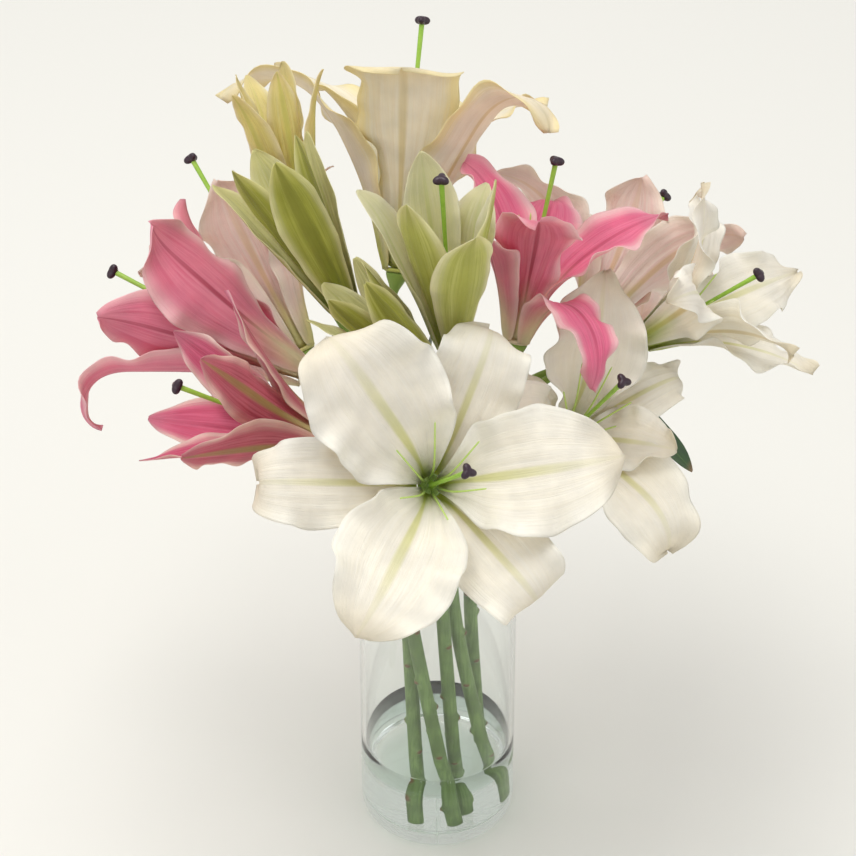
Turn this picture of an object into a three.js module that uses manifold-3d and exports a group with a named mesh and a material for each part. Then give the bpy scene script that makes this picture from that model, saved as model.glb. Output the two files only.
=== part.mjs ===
// Lilies in a glass vase. Millimetres, +Z up, origin at the centre of the vase's base.
// Every flower, stem and leaf hangs on a few driving sizes, which come first.

import * as THREE from 'three';
import { mergeVertices } from 'three/addons/utils/BufferGeometryUtils.js';
import Module from 'manifold-3d';

const wasm = await Module();
wasm.setup();

// ---------------------------------------------------------------------------
// Driving dimensions
// ---------------------------------------------------------------------------
const VASE_DIAMETER = 100;
const VASE_HEIGHT = 250;
const VASE_WALL = 3;
const VASE_BASE = 11;
const VASE_HEEL = 10;
const WATER_LEVEL = 62;
const STEM_DIAMETER = 9;
const PEDICEL_DIAMETER = 5;
const STYLE_DIAMETER = 3;
const FILAMENT_DIAMETER = 1.6;
const STIGMA_WIDTH = 9;
const TEPAL_THICKNESS = 1;
const LEAF_THICKNESS = 1;
const CLEARANCE = 0.35;

const VASE_INNER_RADIUS = VASE_DIAMETER / 2 - VASE_WALL;

// ---------------------------------------------------------------------------
// Small helpers
// ---------------------------------------------------------------------------
const rad = THREE.MathUtils.degToRad;
const clamp = THREE.MathUtils.clamp;

/** A smooth step from 0 to 1 over 0..1. */
function ease(x) {
  const t = clamp(x, 0, 1);
  return t * t * (3 - 2 * t);
}

/** The direction that looks out at azimuth (0 towards -Y, 90 towards +X) and elevation. */
function facing(azimuth, elevation) {
  const a = rad(azimuth);
  const e = rad(elevation);
  return new THREE.Vector3(Math.sin(a) * Math.cos(e), -Math.cos(a) * Math.cos(e), Math.sin(e));
}

/** Two directions across an axis: the upward one, and the one to its left. */
function acrossAxis(axis) {
  const up = new THREE.Vector3(0, 0, 1);
  const north = up.addScaledVector(axis, -up.dot(axis)).normalize();
  const west = axis.clone().cross(north);
  return { north, west };
}

/** A point given from the middle of the vase's rim. */
function fromRim([x, y, z]) {
  return new THREE.Vector3(x, y, VASE_HEIGHT + z);
}

/** A point made of an origin and any number of [direction, distance] steps. */
function along(origin, ...steps) {
  const point = origin.clone();
  for (const [direction, distance] of steps) point.addScaledVector(direction, distance);
  return point;
}

function toSolid(geometry) {
  const bare = geometry.index ? geometry.toNonIndexed() : geometry.clone();
  bare.deleteAttribute('normal');
  bare.deleteAttribute('uv');
  const merged = mergeVertices(bare, 1e-4);
  return new wasm.Manifold(new wasm.Mesh({
    numProp: 3,
    vertProperties: new Float32Array(merged.attributes.position.array),
    triVerts: new Uint32Array(merged.index.array),
  }));
}

function toGeometry(solid) {
  const mesh = solid.getMesh();
  const geometry = new THREE.BufferGeometry();
  geometry.setAttribute('position', new THREE.BufferAttribute(mesh.vertProperties, 3));
  geometry.setIndex(new THREE.BufferAttribute(mesh.triVerts, 1));
  return geometry;
}

/** Several closed geometries joined into one solid. */
function joined(geometries) {
  const solids = geometries.map(toSolid);
  return solids.reduce((whole, piece) => whole.add(piece));
}

/** A round rod of one diameter along a smooth curve through the points. */
function rod(points, diameter, sides, steps) {
  const path = new THREE.CatmullRomCurve3(points, false, 'centripetal');
  const section = new THREE.Shape();
  section.setFromPoints(Array.from({ length: sides }, (_, i) => {
    const turn = (2 * Math.PI * i) / sides;
    return new THREE.Vector2(Math.cos(turn), Math.sin(turn)).multiplyScalar(diameter / 2);
  }));
  return new THREE.ExtrudeGeometry(section, { steps, extrudePath: path });
}

/** A lathe turned about the given axis, from [radius, height] pairs that start and end on it. */
function turned(base, axis, profile, segments) {
  const points = profile.map(([radius, height]) => new THREE.Vector2(radius, height));
  const geometry = new THREE.LatheGeometry(points, segments);
  const upright = new THREE.Quaternion().setFromUnitVectors(new THREE.Vector3(0, 1, 0), axis);
  geometry.applyQuaternion(upright);
  geometry.translate(base.x, base.y, base.z);
  return geometry;
}

/** A closed sheet from its front rows and back rows of points, which match one to one. */
function closedSheet(front, back) {
  const rows = front.length;
  const columns = front[0].length;
  const positions = [];
  for (const row of [...front, ...back]) for (const point of row) positions.push(...point.toArray());
  const at = (side, i, j) => side * rows * columns + i * columns + j;
  const faces = [];
  const quad = (a, b, c, d) => faces.push(a, c, b, a, d, c);
  for (let i = 0; i + 1 < rows; i += 1) {
    for (let j = 0; j + 1 < columns; j += 1) {
      quad(at(0, i, j), at(0, i, j + 1), at(0, i + 1, j + 1), at(0, i + 1, j));
      quad(at(1, i, j), at(1, i + 1, j), at(1, i + 1, j + 1), at(1, i, j + 1));
    }
    const last = columns - 1;
    quad(at(0, i, 0), at(0, i + 1, 0), at(1, i + 1, 0), at(1, i, 0));
    quad(at(0, i, last), at(1, i, last), at(1, i + 1, last), at(0, i + 1, last));
  }
  for (let j = 0; j + 1 < columns; j += 1) {
    const last = rows - 1;
    quad(at(0, 0, j), at(1, 0, j), at(1, 0, j + 1), at(0, 0, j + 1));
    quad(at(0, last, j), at(0, last, j + 1), at(1, last, j + 1), at(1, last, j));
  }
  const geometry = new THREE.BufferGeometry();
  geometry.setAttribute('position', new THREE.Float32BufferAttribute(positions, 3));
  geometry.setIndex(faces);
  return geometry;
}

const bouquet = new THREE.Group();

/** Adds one named piece, from a geometry or a solid, in a material of its own. */
function piece(name, shape, finish) {
  const geometry = shape.isBufferGeometry ? shape : toGeometry(shape);
  const mesh = new THREE.Mesh(geometry, new THREE.MeshStandardMaterial(finish));
  mesh.name = name;
  bouquet.add(mesh);
}

// ---------------------------------------------------------------------------
// Finishes
// ---------------------------------------------------------------------------
const GLASS = { color: 0xe8efec, roughness: 0.03, metalness: 0, transparent: true, opacity: 0.35 };
const WATER = { color: 0xdfeae6, roughness: 0.02, metalness: 0, transparent: true, opacity: 0.4 };
const STEM = { color: 0x6f8a4c, roughness: 0.55, metalness: 0 };
const LEAF = { color: 0x1f4a1e, roughness: 0.4, metalness: 0 };
const PISTIL = { color: 0x6f9e2e, roughness: 0.5, metalness: 0 };
const WHITE = { color: 0xf3eedb, roughness: 0.6, metalness: 0 };
const PINK = { color: 0xd2698c, roughness: 0.6, metalness: 0 };
const BLUSH = { color: 0xf0cdb8, roughness: 0.6, metalness: 0 };
const GREEN_WHITE = { color: 0xd5dc9a, roughness: 0.6, metalness: 0 };
const YELLOW_WHITE = { color: 0xe9dfa0, roughness: 0.6, metalness: 0 };

// ---------------------------------------------------------------------------
// The flower heads
// ---------------------------------------------------------------------------
// Each head stands at a point over the middle of the rim, looks out along an azimuth and an
// elevation, and carries six tepals: tepal 0, 2 and 4 are the inner ones, 1, 3 and 5 the outer.
// turn is the place of tepal 0 round the head, from the top towards the left. A tepal leaves the
// throat, reaches its open angle from the axis, and bends on to its curl angle at the tip.
const HEADS = [
  {
    name: 'front_white_lily', finish: WHITE, at: [-5, -78, 91], azimuth: 9, elevation: 42, turn: -90,
    inner: { open: 60, curl: 95, length: 132, width: 76, widest: 0.58 },
    outer: { open: 68, curl: 205, length: 132, width: 56, widest: 0.66, bendFrom: 0.68 },
    change: {
      0: { bend: 6, length: 136 },
      1: { swing: 5, length: 126 },
      2: { swing: 3, curl: 150, length: 144, width: 84, widest: 0.64, bendFrom: 0.77 },
      3: { swing: -6, curl: 230, length: 142, width: 52, bendFrom: 0.74 },
      4: { swing: -6, curl: 120, length: 136, width: 78, bendFrom: 0.72 },
      5: { swing: 4, length: 118 },
    },
    style: { length: 88, lean: [12, 4] }, stamens: true, apart: true,
  },
  {
    name: 'top_white_lily', finish: WHITE, at: [-25, 92, 125], azimuth: 170, elevation: 55, turn: 0,
    inner: { open: 26, curl: 100, length: 150, width: 72 },
    outer: { open: 31, curl: 175, length: 172, width: 52, bendFrom: 0.55 },
    change: {
      0: { curl: 110, length: 144, width: 96, widest: 0.66, bendFrom: 0.82 },
      1: { length: 178 },
      4: { swing: 18, length: 158 },
      5: { swing: -12, open: 34, curl: 155, length: 184, bendFrom: 0.48 },
    },
    style: { length: 152, lean: [0, 0] }, stamens: true,
  },
  {
    name: 'centre_green_lily', finish: GREEN_WHITE, at: [8, -20, 152], azimuth: -128, elevation: 86,
    turn: 30,
    inner: { open: 15, curl: 8, length: 122, width: 46 },
    outer: { open: 19, curl: 42, length: 120, width: 44, bendFrom: 0.7 },
    change: { 1: { open: 16, curl: 50, length: 102 } },
    style: { length: 118, lean: [0, 0] },
  },
  {
    name: 'left_green_bud', finish: GREEN_WHITE, at: [-55, -10, 172], azimuth: -130, elevation: 52,
    turn: 30,
    inner: { open: 11, curl: 6, length: 108, width: 38 },
    outer: { open: 14, curl: 24, length: 108, width: 36, bendFrom: 0.7 },
    change: {},
  },
  {
    name: 'top_left_yellow_bud', finish: YELLOW_WHITE, at: [-86, 62, 192], azimuth: -153,
    elevation: 63, turn: 0,
    inner: { open: 9, curl: 2, length: 88, width: 26 },
    outer: { open: 13, curl: 38, length: 88, width: 24, bendFrom: 0.6 },
    change: {},
  },
  {
    name: 'small_green_bud', finish: GREEN_WHITE, at: [-2, -45, 144], azimuth: -104, elevation: 47,
    turn: 30,
    inner: { open: 8, curl: 4, length: 88, width: 28 },
    outer: { open: 11, curl: 22, length: 88, width: 26, bendFrom: 0.7 },
    change: {},
  },
  {
    name: 'left_pink_lily', finish: PINK, at: [-83, 2, 114], azimuth: -115, elevation: 15, turn: 45,
    inner: { open: 25, curl: 45, length: 128, width: 64, bendFrom: 0.7 },
    outer: { open: 30, curl: 120, length: 132, width: 52, bendFrom: 0.6 },
    change: {
      0: { curl: 60 }, 1: { open: 27, curl: 60, length: 112 },
      3: { open: 28, curl: 200, length: 168, width: 60, bendFrom: 0.62 },
      5: { open: 28, curl: 80, width: 72, length: 134, bendFrom: 0.75 },
    },
    style: { length: 132, lean: [0, 0] }, stamens: true,
  },
  {
    name: 'left_back_pink_lily', finish: BLUSH, at: [-87, 94, 58], azimuth: -142, elevation: 36,
    turn: -20,
    inner: { open: 20, curl: 50, length: 122, width: 62 },
    outer: { open: 26, curl: 100, length: 125, width: 48 },
    change: {}, style: { length: 140, lean: [0, 0] }, stamens: true,
  },
  {
    name: 'left_front_pink_lily', finish: PINK, at: [-68, -60, 110], azimuth: -89, elevation: 27,
    turn: -30,
    inner: { open: 28, curl: 28, length: 110, width: 38 },
    outer: { open: 34, curl: 38, length: 110, width: 38 },
    change: {}, style: { length: 96, lean: [0, 0] },
  },
  {
    name: 'centre_pink_lily', finish: PINK, at: [49, 35, 115], azimuth: 151, elevation: 66, turn: 20,
    inner: { open: 24, curl: 80, length: 115, width: 62 },
    outer: { open: 30, curl: 120, length: 125, width: 50 },
    change: {
      1: { open: 70, curl: 200, length: 118, width: 38, bendFrom: 0.22, swing: -18 },
      2: { swing: -6, open: 42, curl: 70, length: 120, width: 56 },
      3: { open: 46 },
    },
    style: { length: 112, lean: [0, 0] }, stamens: true,
  },
  {
    name: 'right_back_pink_lily', finish: BLUSH, at: [95, 95, 75], azimuth: 152, elevation: 16,
    turn: 4,
    inner: { open: 24, curl: 70, length: 100, width: 60 },
    outer: { open: 30, curl: 120, length: 125, width: 46 },
    change: { 5: { open: 58, curl: 140, length: 135 } },
    style: { length: 112, lean: [0, 0] }, stamens: true,
  },
  {
    name: 'right_white_lily', finish: WHITE, at: [76, 24, 38], azimuth: 35, elevation: 56, turn: -30,
    inner: { open: 44, curl: 80, length: 120, width: 70 },
    outer: { open: 55, curl: 140, length: 128, width: 50 },
    change: {
      1: { swing: 26, length: 84 },
      3: { swing: 34, open: 60, curl: 175, length: 126, width: 60, widest: 0.64, bendFrom: 0.58 },
      4: { swing: 8, open: 44, curl: 60, length: 84, width: 50 },
      5: { open: 58, curl: 185, length: 112, width: 34 },
    },
    style: { length: 108, lean: [0, 0] }, stamens: true, stamensApart: true,
  },
  {
    name: 'far_right_white_lily', finish: WHITE, at: [129, 53, 99], azimuth: 92, elevation: 35,
    turn: -14, via: [66, 62, 62],
    inner: { open: 36, curl: 70, length: 112, width: 50 },
    outer: { open: 42, curl: 110, length: 116, width: 40 },
    change: { 1: { curl: 150 }, 2: { open: 32 }, 3: { length: 106, curl: 70 }, 5: { length: 106 } },
    style: { length: 82, lean: [0, 0] }, stamens: true, stamensApart: true,
  },
];

// The filaments stand in a ring round the pistil. The inner tepals stand clear of it on a small
// hub, and the outer ones on a wider hub below that.
const FILAMENT_RING = 3.7;
const HEART_ROOM = 0.5;
const WHORL_STEP = 1.5;
const INNER_RADIUS = FILAMENT_RING + FILAMENT_DIAMETER / 2 + HEART_ROOM + TEPAL_THICKNESS / 2;
const OUTER_RADIUS = INNER_RADIUS + TEPAL_THICKNESS + WHORL_STEP;
const INNER = { radius: INNER_RADIUS, rise: 0, claw: 4, throat: 12 };
const OUTER = { radius: OUTER_RADIUS, rise: -3, claw: 5, throat: 16 };
const STRAIGHT = { swing: 0, bend: 0, bendFrom: 0.4, widest: 0.52 };
const HUB_HALF_HEIGHT = 1.2;
const HUB_SIDES = 7;
const WHORL_FILL = 0.84;
const TIP_WIDTH = 2;
const WIDTH_RISE = 0.92;
const BEND_POWER = 1.6;
const TEPAL_ROWS = 6;
const TEPAL_COLUMNS = 2;
const STEPS_PER_ROW = 6;

/** The tepal's half width along its length: narrow claw, widest past the middle, pointed tip. */
function halfWidth(s, tepal) {
  const { widest } = tepal;
  const fall = (WIDTH_RISE * (1 - widest)) / widest;
  const blade = (s / widest) ** WIDTH_RISE * ((1 - s) / (1 - widest)) ** fall;
  return tepal.claw * (1 - s) ** 2 + (tepal.width / 2) * blade + (TIP_WIDTH / 2) * s ** 4;
}

/** The angle between the flower's axis and the tepal's midrib, s of the way along it. */
function lean(s, tepal) {
  const opening = tepal.throat + (tepal.open - tepal.throat) * ease(s / 0.55);
  const bent = clamp((s - tepal.bendFrom) / (1 - tepal.bendFrom), 0, 1) ** BEND_POWER;
  return rad(opening + (tepal.curl - tepal.open) * bent);
}

/** Rows of front and back points of one tepal of a head. */
function tepalRows(base, axis, tepal) {
  const { north, west } = acrossAxis(axis);
  const outAt = (degrees) => along(new THREE.Vector3(),
    [north, Math.cos(rad(degrees))], [west, Math.sin(rad(degrees))]);
  const point = along(base, [axis, tepal.rise], [outAt(tepal.turn), tepal.radius]);
  const steps = TEPAL_ROWS * STEPS_PER_ROW;
  const step = tepal.length / steps;
  let reach = tepal.radius;
  const front = [];
  const back = [];
  for (let k = 0; k <= steps; k += 1) {
    const s = k / steps;
    const angle = lean(s, tepal);
    if (k % STEPS_PER_ROW === 0) {
      const out = outAt(tepal.turn + tepal.bend * s ** 2);
      const across = axis.clone().cross(out);
      const normal = along(new THREE.Vector3(), [out, -Math.cos(angle)], [axis, Math.sin(angle)]);
      const cone = Math.cos(angle) / Math.max(reach, tepal.radius);
      const room = (WHORL_FILL * Math.PI) / 3 / Math.max(cone, 0.001);
      const full = halfWidth(s, tepal);
      const half = full / (1 + (full / room) ** 4) ** 0.25;
      const bend = cone * half;
      const curve = Math.abs(bend) < 0.001 ? 0.001 : bend;
      const row = [];
      for (let j = 0; j <= TEPAL_COLUMNS; j += 1) {
        const t = (2 * j) / TEPAL_COLUMNS - 1;
        const sideways = (half * Math.sin(curve * t)) / curve;
        const inwards = (half * (1 - Math.cos(curve * t))) / curve;
        row.push(along(point, [across, sideways], [normal, inwards]));
      }
      front.push(row.map((p) => along(p, [normal, TEPAL_THICKNESS / 2])));
      back.push(row.map((p) => along(p, [normal, -TEPAL_THICKNESS / 2])));
    }
    const middle = s + 0.5 / steps;
    const next = lean(middle, tepal);
    const outward = outAt(tepal.turn + tepal.bend * middle ** 2);
    point.addScaledVector(axis, Math.cos(next) * step);
    point.addScaledVector(outward, Math.sin(next) * step);
    reach += Math.sin(next) * step;
  }
  return { front, back };
}

/** The six tepals of a head as plain values: the whorl's own, then this head's, then its changes. */
function tepalsOf(head) {
  return Array.from({ length: 6 }, (_, i) => {
    const whorl = i % 2 ? { ...OUTER, ...head.outer } : { ...INNER, ...head.inner };
    const tepal = { ...STRAIGHT, ...whorl, ...head.change[i] };
    return { ...tepal, turn: head.turn + 60 * i + tepal.swing };
  });
}

function tepalSheet(head, tepal) {
  const { front, back } = tepalRows(head.base, head.axis, tepal);
  return closedSheet(front, back);
}

/** Three tepals of one whorl, joined on the hub that they grow from. */
function whorl(head, first) {
  const tepals = tepalsOf(head).filter((_, i) => i % 2 === first);
  const { radius, rise } = tepals[0];
  const hubRadius = radius + TEPAL_THICKNESS / 2;
  const hub = turned(head.base, head.axis, [
    [0, rise - HUB_HALF_HEIGHT],
    [hubRadius, rise - HUB_HALF_HEIGHT],
    [hubRadius, rise + HUB_HALF_HEIGHT],
    [0, rise + HUB_HALF_HEIGHT],
  ], HUB_SIDES);
  return joined([hub, ...tepals.map((tepal) => tepalSheet(head, tepal))]);
}

const HEART_START = INNER.rise + HUB_HALF_HEIGHT + CLEARANCE;
const OVARY = { radius: 2.4, length: 22 };

function pistilParts(head) {
  const { north, west } = acrossAxis(head.axis);
  const { length, lean: [left, up] } = head.style;
  const start = along(head.base, [head.axis, HEART_START]);
  const neck = along(start, [head.axis, OVARY.length * 0.8]);
  const end = along(head.base, [head.axis, length], [west, -left], [north, up]);
  const middle = along(start, [head.axis, length / 2], [west, -left / 4], [north, up / 4]);
  const tip = end.clone().sub(middle).normalize();
  const ovary = turned(start, head.axis, [
    [0, 0],
    [OVARY.radius * 0.8, 0],
    [OVARY.radius, OVARY.length / 2],
    [STYLE_DIAMETER / 2, OVARY.length],
    [0, OVARY.length],
  ], 6);
  const stigma = turned(end, tip, [
    [0, -STIGMA_WIDTH / 3],
    [STIGMA_WIDTH / 2, 0],
    [STIGMA_WIDTH / 3, STIGMA_WIDTH / 3],
    [0, STIGMA_WIDTH / 2.5],
  ], 6);
  return [ovary, rod([neck, middle, end], STYLE_DIAMETER, 5, 4), stigma];
}

function stamenParts(head) {
  const { north, west } = acrossAxis(head.axis);
  const start = along(head.base, [head.axis, HEART_START]);
  const half = FILAMENT_DIAMETER / 2;
  const ring = turned(start, head.axis, [
    [FILAMENT_RING - half, 0],
    [FILAMENT_RING + half, 0],
    [FILAMENT_RING + half, 2 * half],
    [FILAMENT_RING - half, 2 * half],
    [FILAMENT_RING - half, 0],
  ], HUB_SIDES);
  const reach = head.style.length * 0.66;
  const spread = head.inner.open * 0.42;
  const filaments = Array.from({ length: 6 }, (_, i) => {
    const turn = rad(head.turn + 60 * i + 30);
    const out = along(new THREE.Vector3(), [north, Math.cos(turn)], [west, Math.sin(turn)]);
    return rod([
      along(start, [head.axis, half], [out, FILAMENT_RING]),
      along(start, [head.axis, reach * 0.5], [out, FILAMENT_RING + spread * 0.3]),
      along(start, [head.axis, reach], [out, FILAMENT_RING + spread]),
    ], FILAMENT_DIAMETER, 4, 2);
  });
  return [ring, ...filaments];
}

function addHead(head) {
  head.base = fromRim(head.at);
  head.axis = facing(head.azimuth, head.elevation);
  if (head.apart) {
    tepalsOf(head).forEach((tepal, i) => {
      piece(`${head.name}_${i % 2 ? 'outer' : 'inner'}_tepal_${1 + (i >> 1)}`,
        tepalSheet(head, tepal), head.finish);
    });
  } else {
    piece(`${head.name}_outer_tepals`, whorl(head, 1), head.finish);
    piece(`${head.name}_inner_tepals`, whorl(head, 0), head.finish);
  }
  if (!head.style) return;
  if (head.apart || head.stamensApart) {
    piece(`${head.name}_pistil`, joined(pistilParts(head)), PISTIL);
    piece(`${head.name}_stamens`, joined(stamenParts(head)), PISTIL);
  } else if (head.stamens) {
    const ringFloor = turned(along(head.base, [head.axis, HEART_START]), head.axis, [
      [0, 0],
      [FILAMENT_RING, 0],
      [FILAMENT_RING, FILAMENT_DIAMETER],
      [0, FILAMENT_DIAMETER],
    ], HUB_SIDES);
    piece(`${head.name}_stamens_and_pistil`,
      joined([ringFloor, ...pistilParts(head), ...stamenParts(head)]), PISTIL);
  } else {
    piece(`${head.name}_pistil`, joined(pistilParts(head)), PISTIL);
  }
}

HEADS.forEach(addHead);

// ---------------------------------------------------------------------------
// Stems
// ---------------------------------------------------------------------------
// A stem runs from its foot on the vase's floor past its waist under the rim to its fork, and
// sends one pedicel to each head it bears. Foot and waist are shares of the room inside the vase,
// and the fork is measured from the middle of the rim.
const STEMS = [
  { name: 'stem_1', foot: [0.24, -0.71], waist: [-0.46, -0.54], fork: [-26, -16, 45],
    heads: ['left_pink_lily', 'left_back_pink_lily', 'left_front_pink_lily'] },
  { name: 'stem_2', foot: [-0.29, -0.66], waist: [-0.49, -0.12], fork: [-24, 6, 75],
    heads: ['left_green_bud', 'top_left_yellow_bud'] },
  { name: 'stem_3', foot: [0.32, -0.34], waist: [0.05, -0.34], fork: [-2, -6, 60],
    heads: ['top_white_lily', 'centre_green_lily', 'small_green_bud'] },
  { name: 'stem_4', foot: [0.9, -0.2], waist: [0.2, -0.02], fork: [16, 16, 60],
    heads: ['centre_pink_lily', 'right_back_pink_lily', 'far_right_white_lily'] },
  { name: 'stem_5', foot: [0.71, 0.59], waist: [0.51, 0.2], fork: [28, -4, 20],
    heads: ['front_white_lily', 'right_white_lily'] },
];
const FOOT_GAP = 1.5;
const WAIST_BELOW_RIM = 50;
const RECEPTACLE = { radius: 7, length: 9 };
const PEDICEL_LEAD = 30;
const STEM_SIDES = 8;
const STEM_STEPS = 8;

const headNamed = Object.fromEntries(HEADS.map((head) => [head.name, head]));

function stemPoints(stem) {
  const room = VASE_INNER_RADIUS - STEM_DIAMETER / 2 - FOOT_GAP;
  const inVase = ([x, y], z) => new THREE.Vector3(x * room, y * room, z);
  return [
    inVase(stem.foot, VASE_BASE + FOOT_GAP),
    inVase(stem.waist, VASE_HEIGHT - WAIST_BELOW_RIM),
    fromRim(stem.fork),
  ];
}

function pedicelPoints(stem, head) {
  const seat = along(head.base, [head.axis, OUTER.rise - HUB_HALF_HEIGHT - CLEARANCE]);
  const lead = along(seat, [head.axis, -PEDICEL_LEAD]);
  const via = head.via ? [fromRim(head.via)] : [];
  return [stemPoints(stem)[2], ...via, lead, along(seat, [head.axis, -RECEPTACLE.length / 2])];
}

/** The pedicel and receptacle that carry one head from the fork of its stem. */
function pedicelParts(stem, head) {
  const seat = along(head.base, [head.axis, OUTER.rise - HUB_HALF_HEIGHT - CLEARANCE]);
  const receptacle = turned(seat, head.axis, [
    [0, -RECEPTACLE.length],
    [PEDICEL_DIAMETER / 2, -RECEPTACLE.length],
    [RECEPTACLE.radius, -1],
    [RECEPTACLE.radius, 0],
    [0, 0],
  ], 8);
  return [rod(pedicelPoints(stem, head), PEDICEL_DIAMETER, 5, 6), receptacle];
}

function addStem(stem) {
  const pedicels = stem.heads.flatMap((name) => pedicelParts(stem, headNamed[name]));
  const main = rod(stemPoints(stem), STEM_DIAMETER, STEM_SIDES, STEM_STEPS);
  piece(stem.name, joined([main, ...pedicels]), STEM);
}

STEMS.forEach(addStem);

// ---------------------------------------------------------------------------
// Leaves
// ---------------------------------------------------------------------------
// A leaf springs from the side of a stem, or of the pedicel of one head, a share of the way up it,
// leaves along an azimuth and an elevation, and droops to another elevation at its tip.
const LEAVES = [
  { name: 'leaf_right', stem: 'stem_4', head: 'far_right_white_lily', at: 0.38, azimuth: 76,
    elevation: -14, droop: -52, length: 110, width: 28 },
  { name: 'leaf_centre_high', stem: 'stem_2', at: 0.97, azimuth: 80, elevation: 75, droop: 85,
    length: 90, width: 16 },
  { name: 'leaf_centre_low', stem: 'stem_4', at: 0.98, azimuth: -30, elevation: 70, droop: 65,
    length: 80, width: 20 },
  { name: 'leaf_left', stem: 'stem_1', at: 0.95, azimuth: -95, elevation: 50, droop: 40,
    length: 90, width: 22 },
  { name: 'leaf_mouth', stem: 'stem_1', at: 0.62, azimuth: 60, elevation: 20, droop: -40,
    length: 30, width: 10 },
];
const LEAF_ROWS = 6;
const LEAF_FOLD = 16;
const LEAF_SETTING = { claw: 2.5, widest: 0.52 };

function leafSheet(leaf) {
  const stem = STEMS.find(({ name }) => name === leaf.stem);
  const points = leaf.head ? pedicelPoints(stem, headNamed[leaf.head]) : stemPoints(stem);
  const thickness = leaf.head ? PEDICEL_DIAMETER : STEM_DIAMETER;
  const path = new THREE.CatmullRomCurve3(points, false, 'centripetal');
  const tangent = path.getTangent(leaf.at);
  const out = facing(leaf.azimuth, 0);
  const side = along(out, [tangent, -out.dot(tangent)]).normalize();
  const up = new THREE.Vector3(0, 0, 1);
  const across = up.clone().cross(out);
  const gap = thickness / 2 + LEAF_THICKNESS + 2 * CLEARANCE;
  const point = along(path.getPoint(leaf.at), [side, gap]);
  const front = [];
  const back = [];
  for (let i = 0; i <= LEAF_ROWS; i += 1) {
    const s = i / LEAF_ROWS;
    const angle = rad(leaf.elevation + (leaf.droop - leaf.elevation) * s);
    const heading = along(new THREE.Vector3(), [out, Math.cos(angle)], [up, Math.sin(angle)]);
    const normal = across.clone().cross(heading).negate();
    const half = halfWidth(s, { ...LEAF_SETTING, width: leaf.width });
    const lift = Math.sin(rad(LEAF_FOLD)) * half;
    const row = [
      along(point, [across, -half], [normal, lift]),
      point.clone(),
      along(point, [across, half], [normal, lift]),
    ];
    front.push(row.map((p) => along(p, [normal, LEAF_THICKNESS / 2])));
    back.push(row.map((p) => along(p, [normal, -LEAF_THICKNESS / 2])));
    point.addScaledVector(heading, leaf.length / LEAF_ROWS);
  }
  return closedSheet(front, back);
}

LEAVES.forEach((leaf) => piece(leaf.name, leafSheet(leaf), LEAF));

// ---------------------------------------------------------------------------
// Vase and water
// ---------------------------------------------------------------------------
const VASE_SEGMENTS = 36;
const FLOOR_FILLET = 8;
const UP = new THREE.Vector3(0, 0, 1);
const ORIGIN = new THREE.Vector3();

/** [radius, height] points of a quarter circle about a centre, from one angle to another. */
function arc(centreRadius, centreHeight, radius, from, to, steps) {
  return Array.from({ length: steps + 1 }, (_, i) => {
    const angle = rad(from + ((to - from) * i) / steps);
    return [centreRadius + radius * Math.cos(angle), centreHeight + radius * Math.sin(angle)];
  });
}

function vase() {
  const outer = VASE_DIAMETER / 2;
  const lip = VASE_WALL / 2;
  return turned(ORIGIN, UP, [
    [0, 0],
    ...arc(outer - VASE_HEEL, VASE_HEEL, VASE_HEEL, -90, 0, 3),
    [outer, VASE_HEIGHT - lip],
    [outer - lip, VASE_HEIGHT],
    [VASE_INNER_RADIUS, VASE_HEIGHT - lip],
    ...arc(VASE_INNER_RADIUS - FLOOR_FILLET, VASE_BASE + FLOOR_FILLET, FLOOR_FILLET, 0, -90, 3),
    [0, VASE_BASE],
  ], VASE_SEGMENTS);
}

/** The water fills the vase to its level and leaves a clear hole round each stem. */
function water() {
  const fillet = FLOOR_FILLET - CLEARANCE;
  const wall = VASE_INNER_RADIUS - CLEARANCE;
  const floor = VASE_BASE + CLEARANCE;
  const body = toSolid(turned(ORIGIN, UP, [
    [0, floor],
    ...arc(wall - fillet, floor + fillet, fillet, -90, 0, 3),
    [wall, WATER_LEVEL],
    [0, WATER_LEVEL],
  ], VASE_SEGMENTS));
  const hole = STEM_DIAMETER + 2 * CLEARANCE;
  return STEMS.reduce((rest, stem) => {
    const points = stemPoints(stem);
    const aim = new THREE.CatmullRomCurve3(points, false, 'centripetal').getTangent(0);
    const foot = turned(points[0], aim, [
      [0, -2 * FOOT_GAP],
      [hole / 2, -2 * FOOT_GAP],
      [hole / 2, FOOT_GAP],
      [0, FOOT_GAP],
    ], STEM_SIDES);
    return rest.subtract(toSolid(rod(points, hole, STEM_SIDES, STEM_STEPS))).subtract(toSolid(foot));
  }, body);
}

piece('vase', vase(), GLASS);
piece('water', water(), WATER);

export default bouquet;
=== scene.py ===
# %% [markdown]
# # Lilies in a glass vase
# A bunch of cut lilies stands in a clear glass cylinder with a little water. Five stems carry
# thirteen flower heads: white, pink, blush and green-white ones, some wide open and some still
# in bud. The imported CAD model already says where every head, stem and leaf stands. This lesson
# gives each of them its living surface: thin ruffled tepals with veins, knobbly stems, dark
# three-lobed stigmas, glossy leaves, and glass and water that bend light.
#
# Nearly every shape here is a grid of points that is worked out with numpy in one go, so a
# whole petal is a few lines of formulas. The first cell loads the frame that all of it fits.

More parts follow.
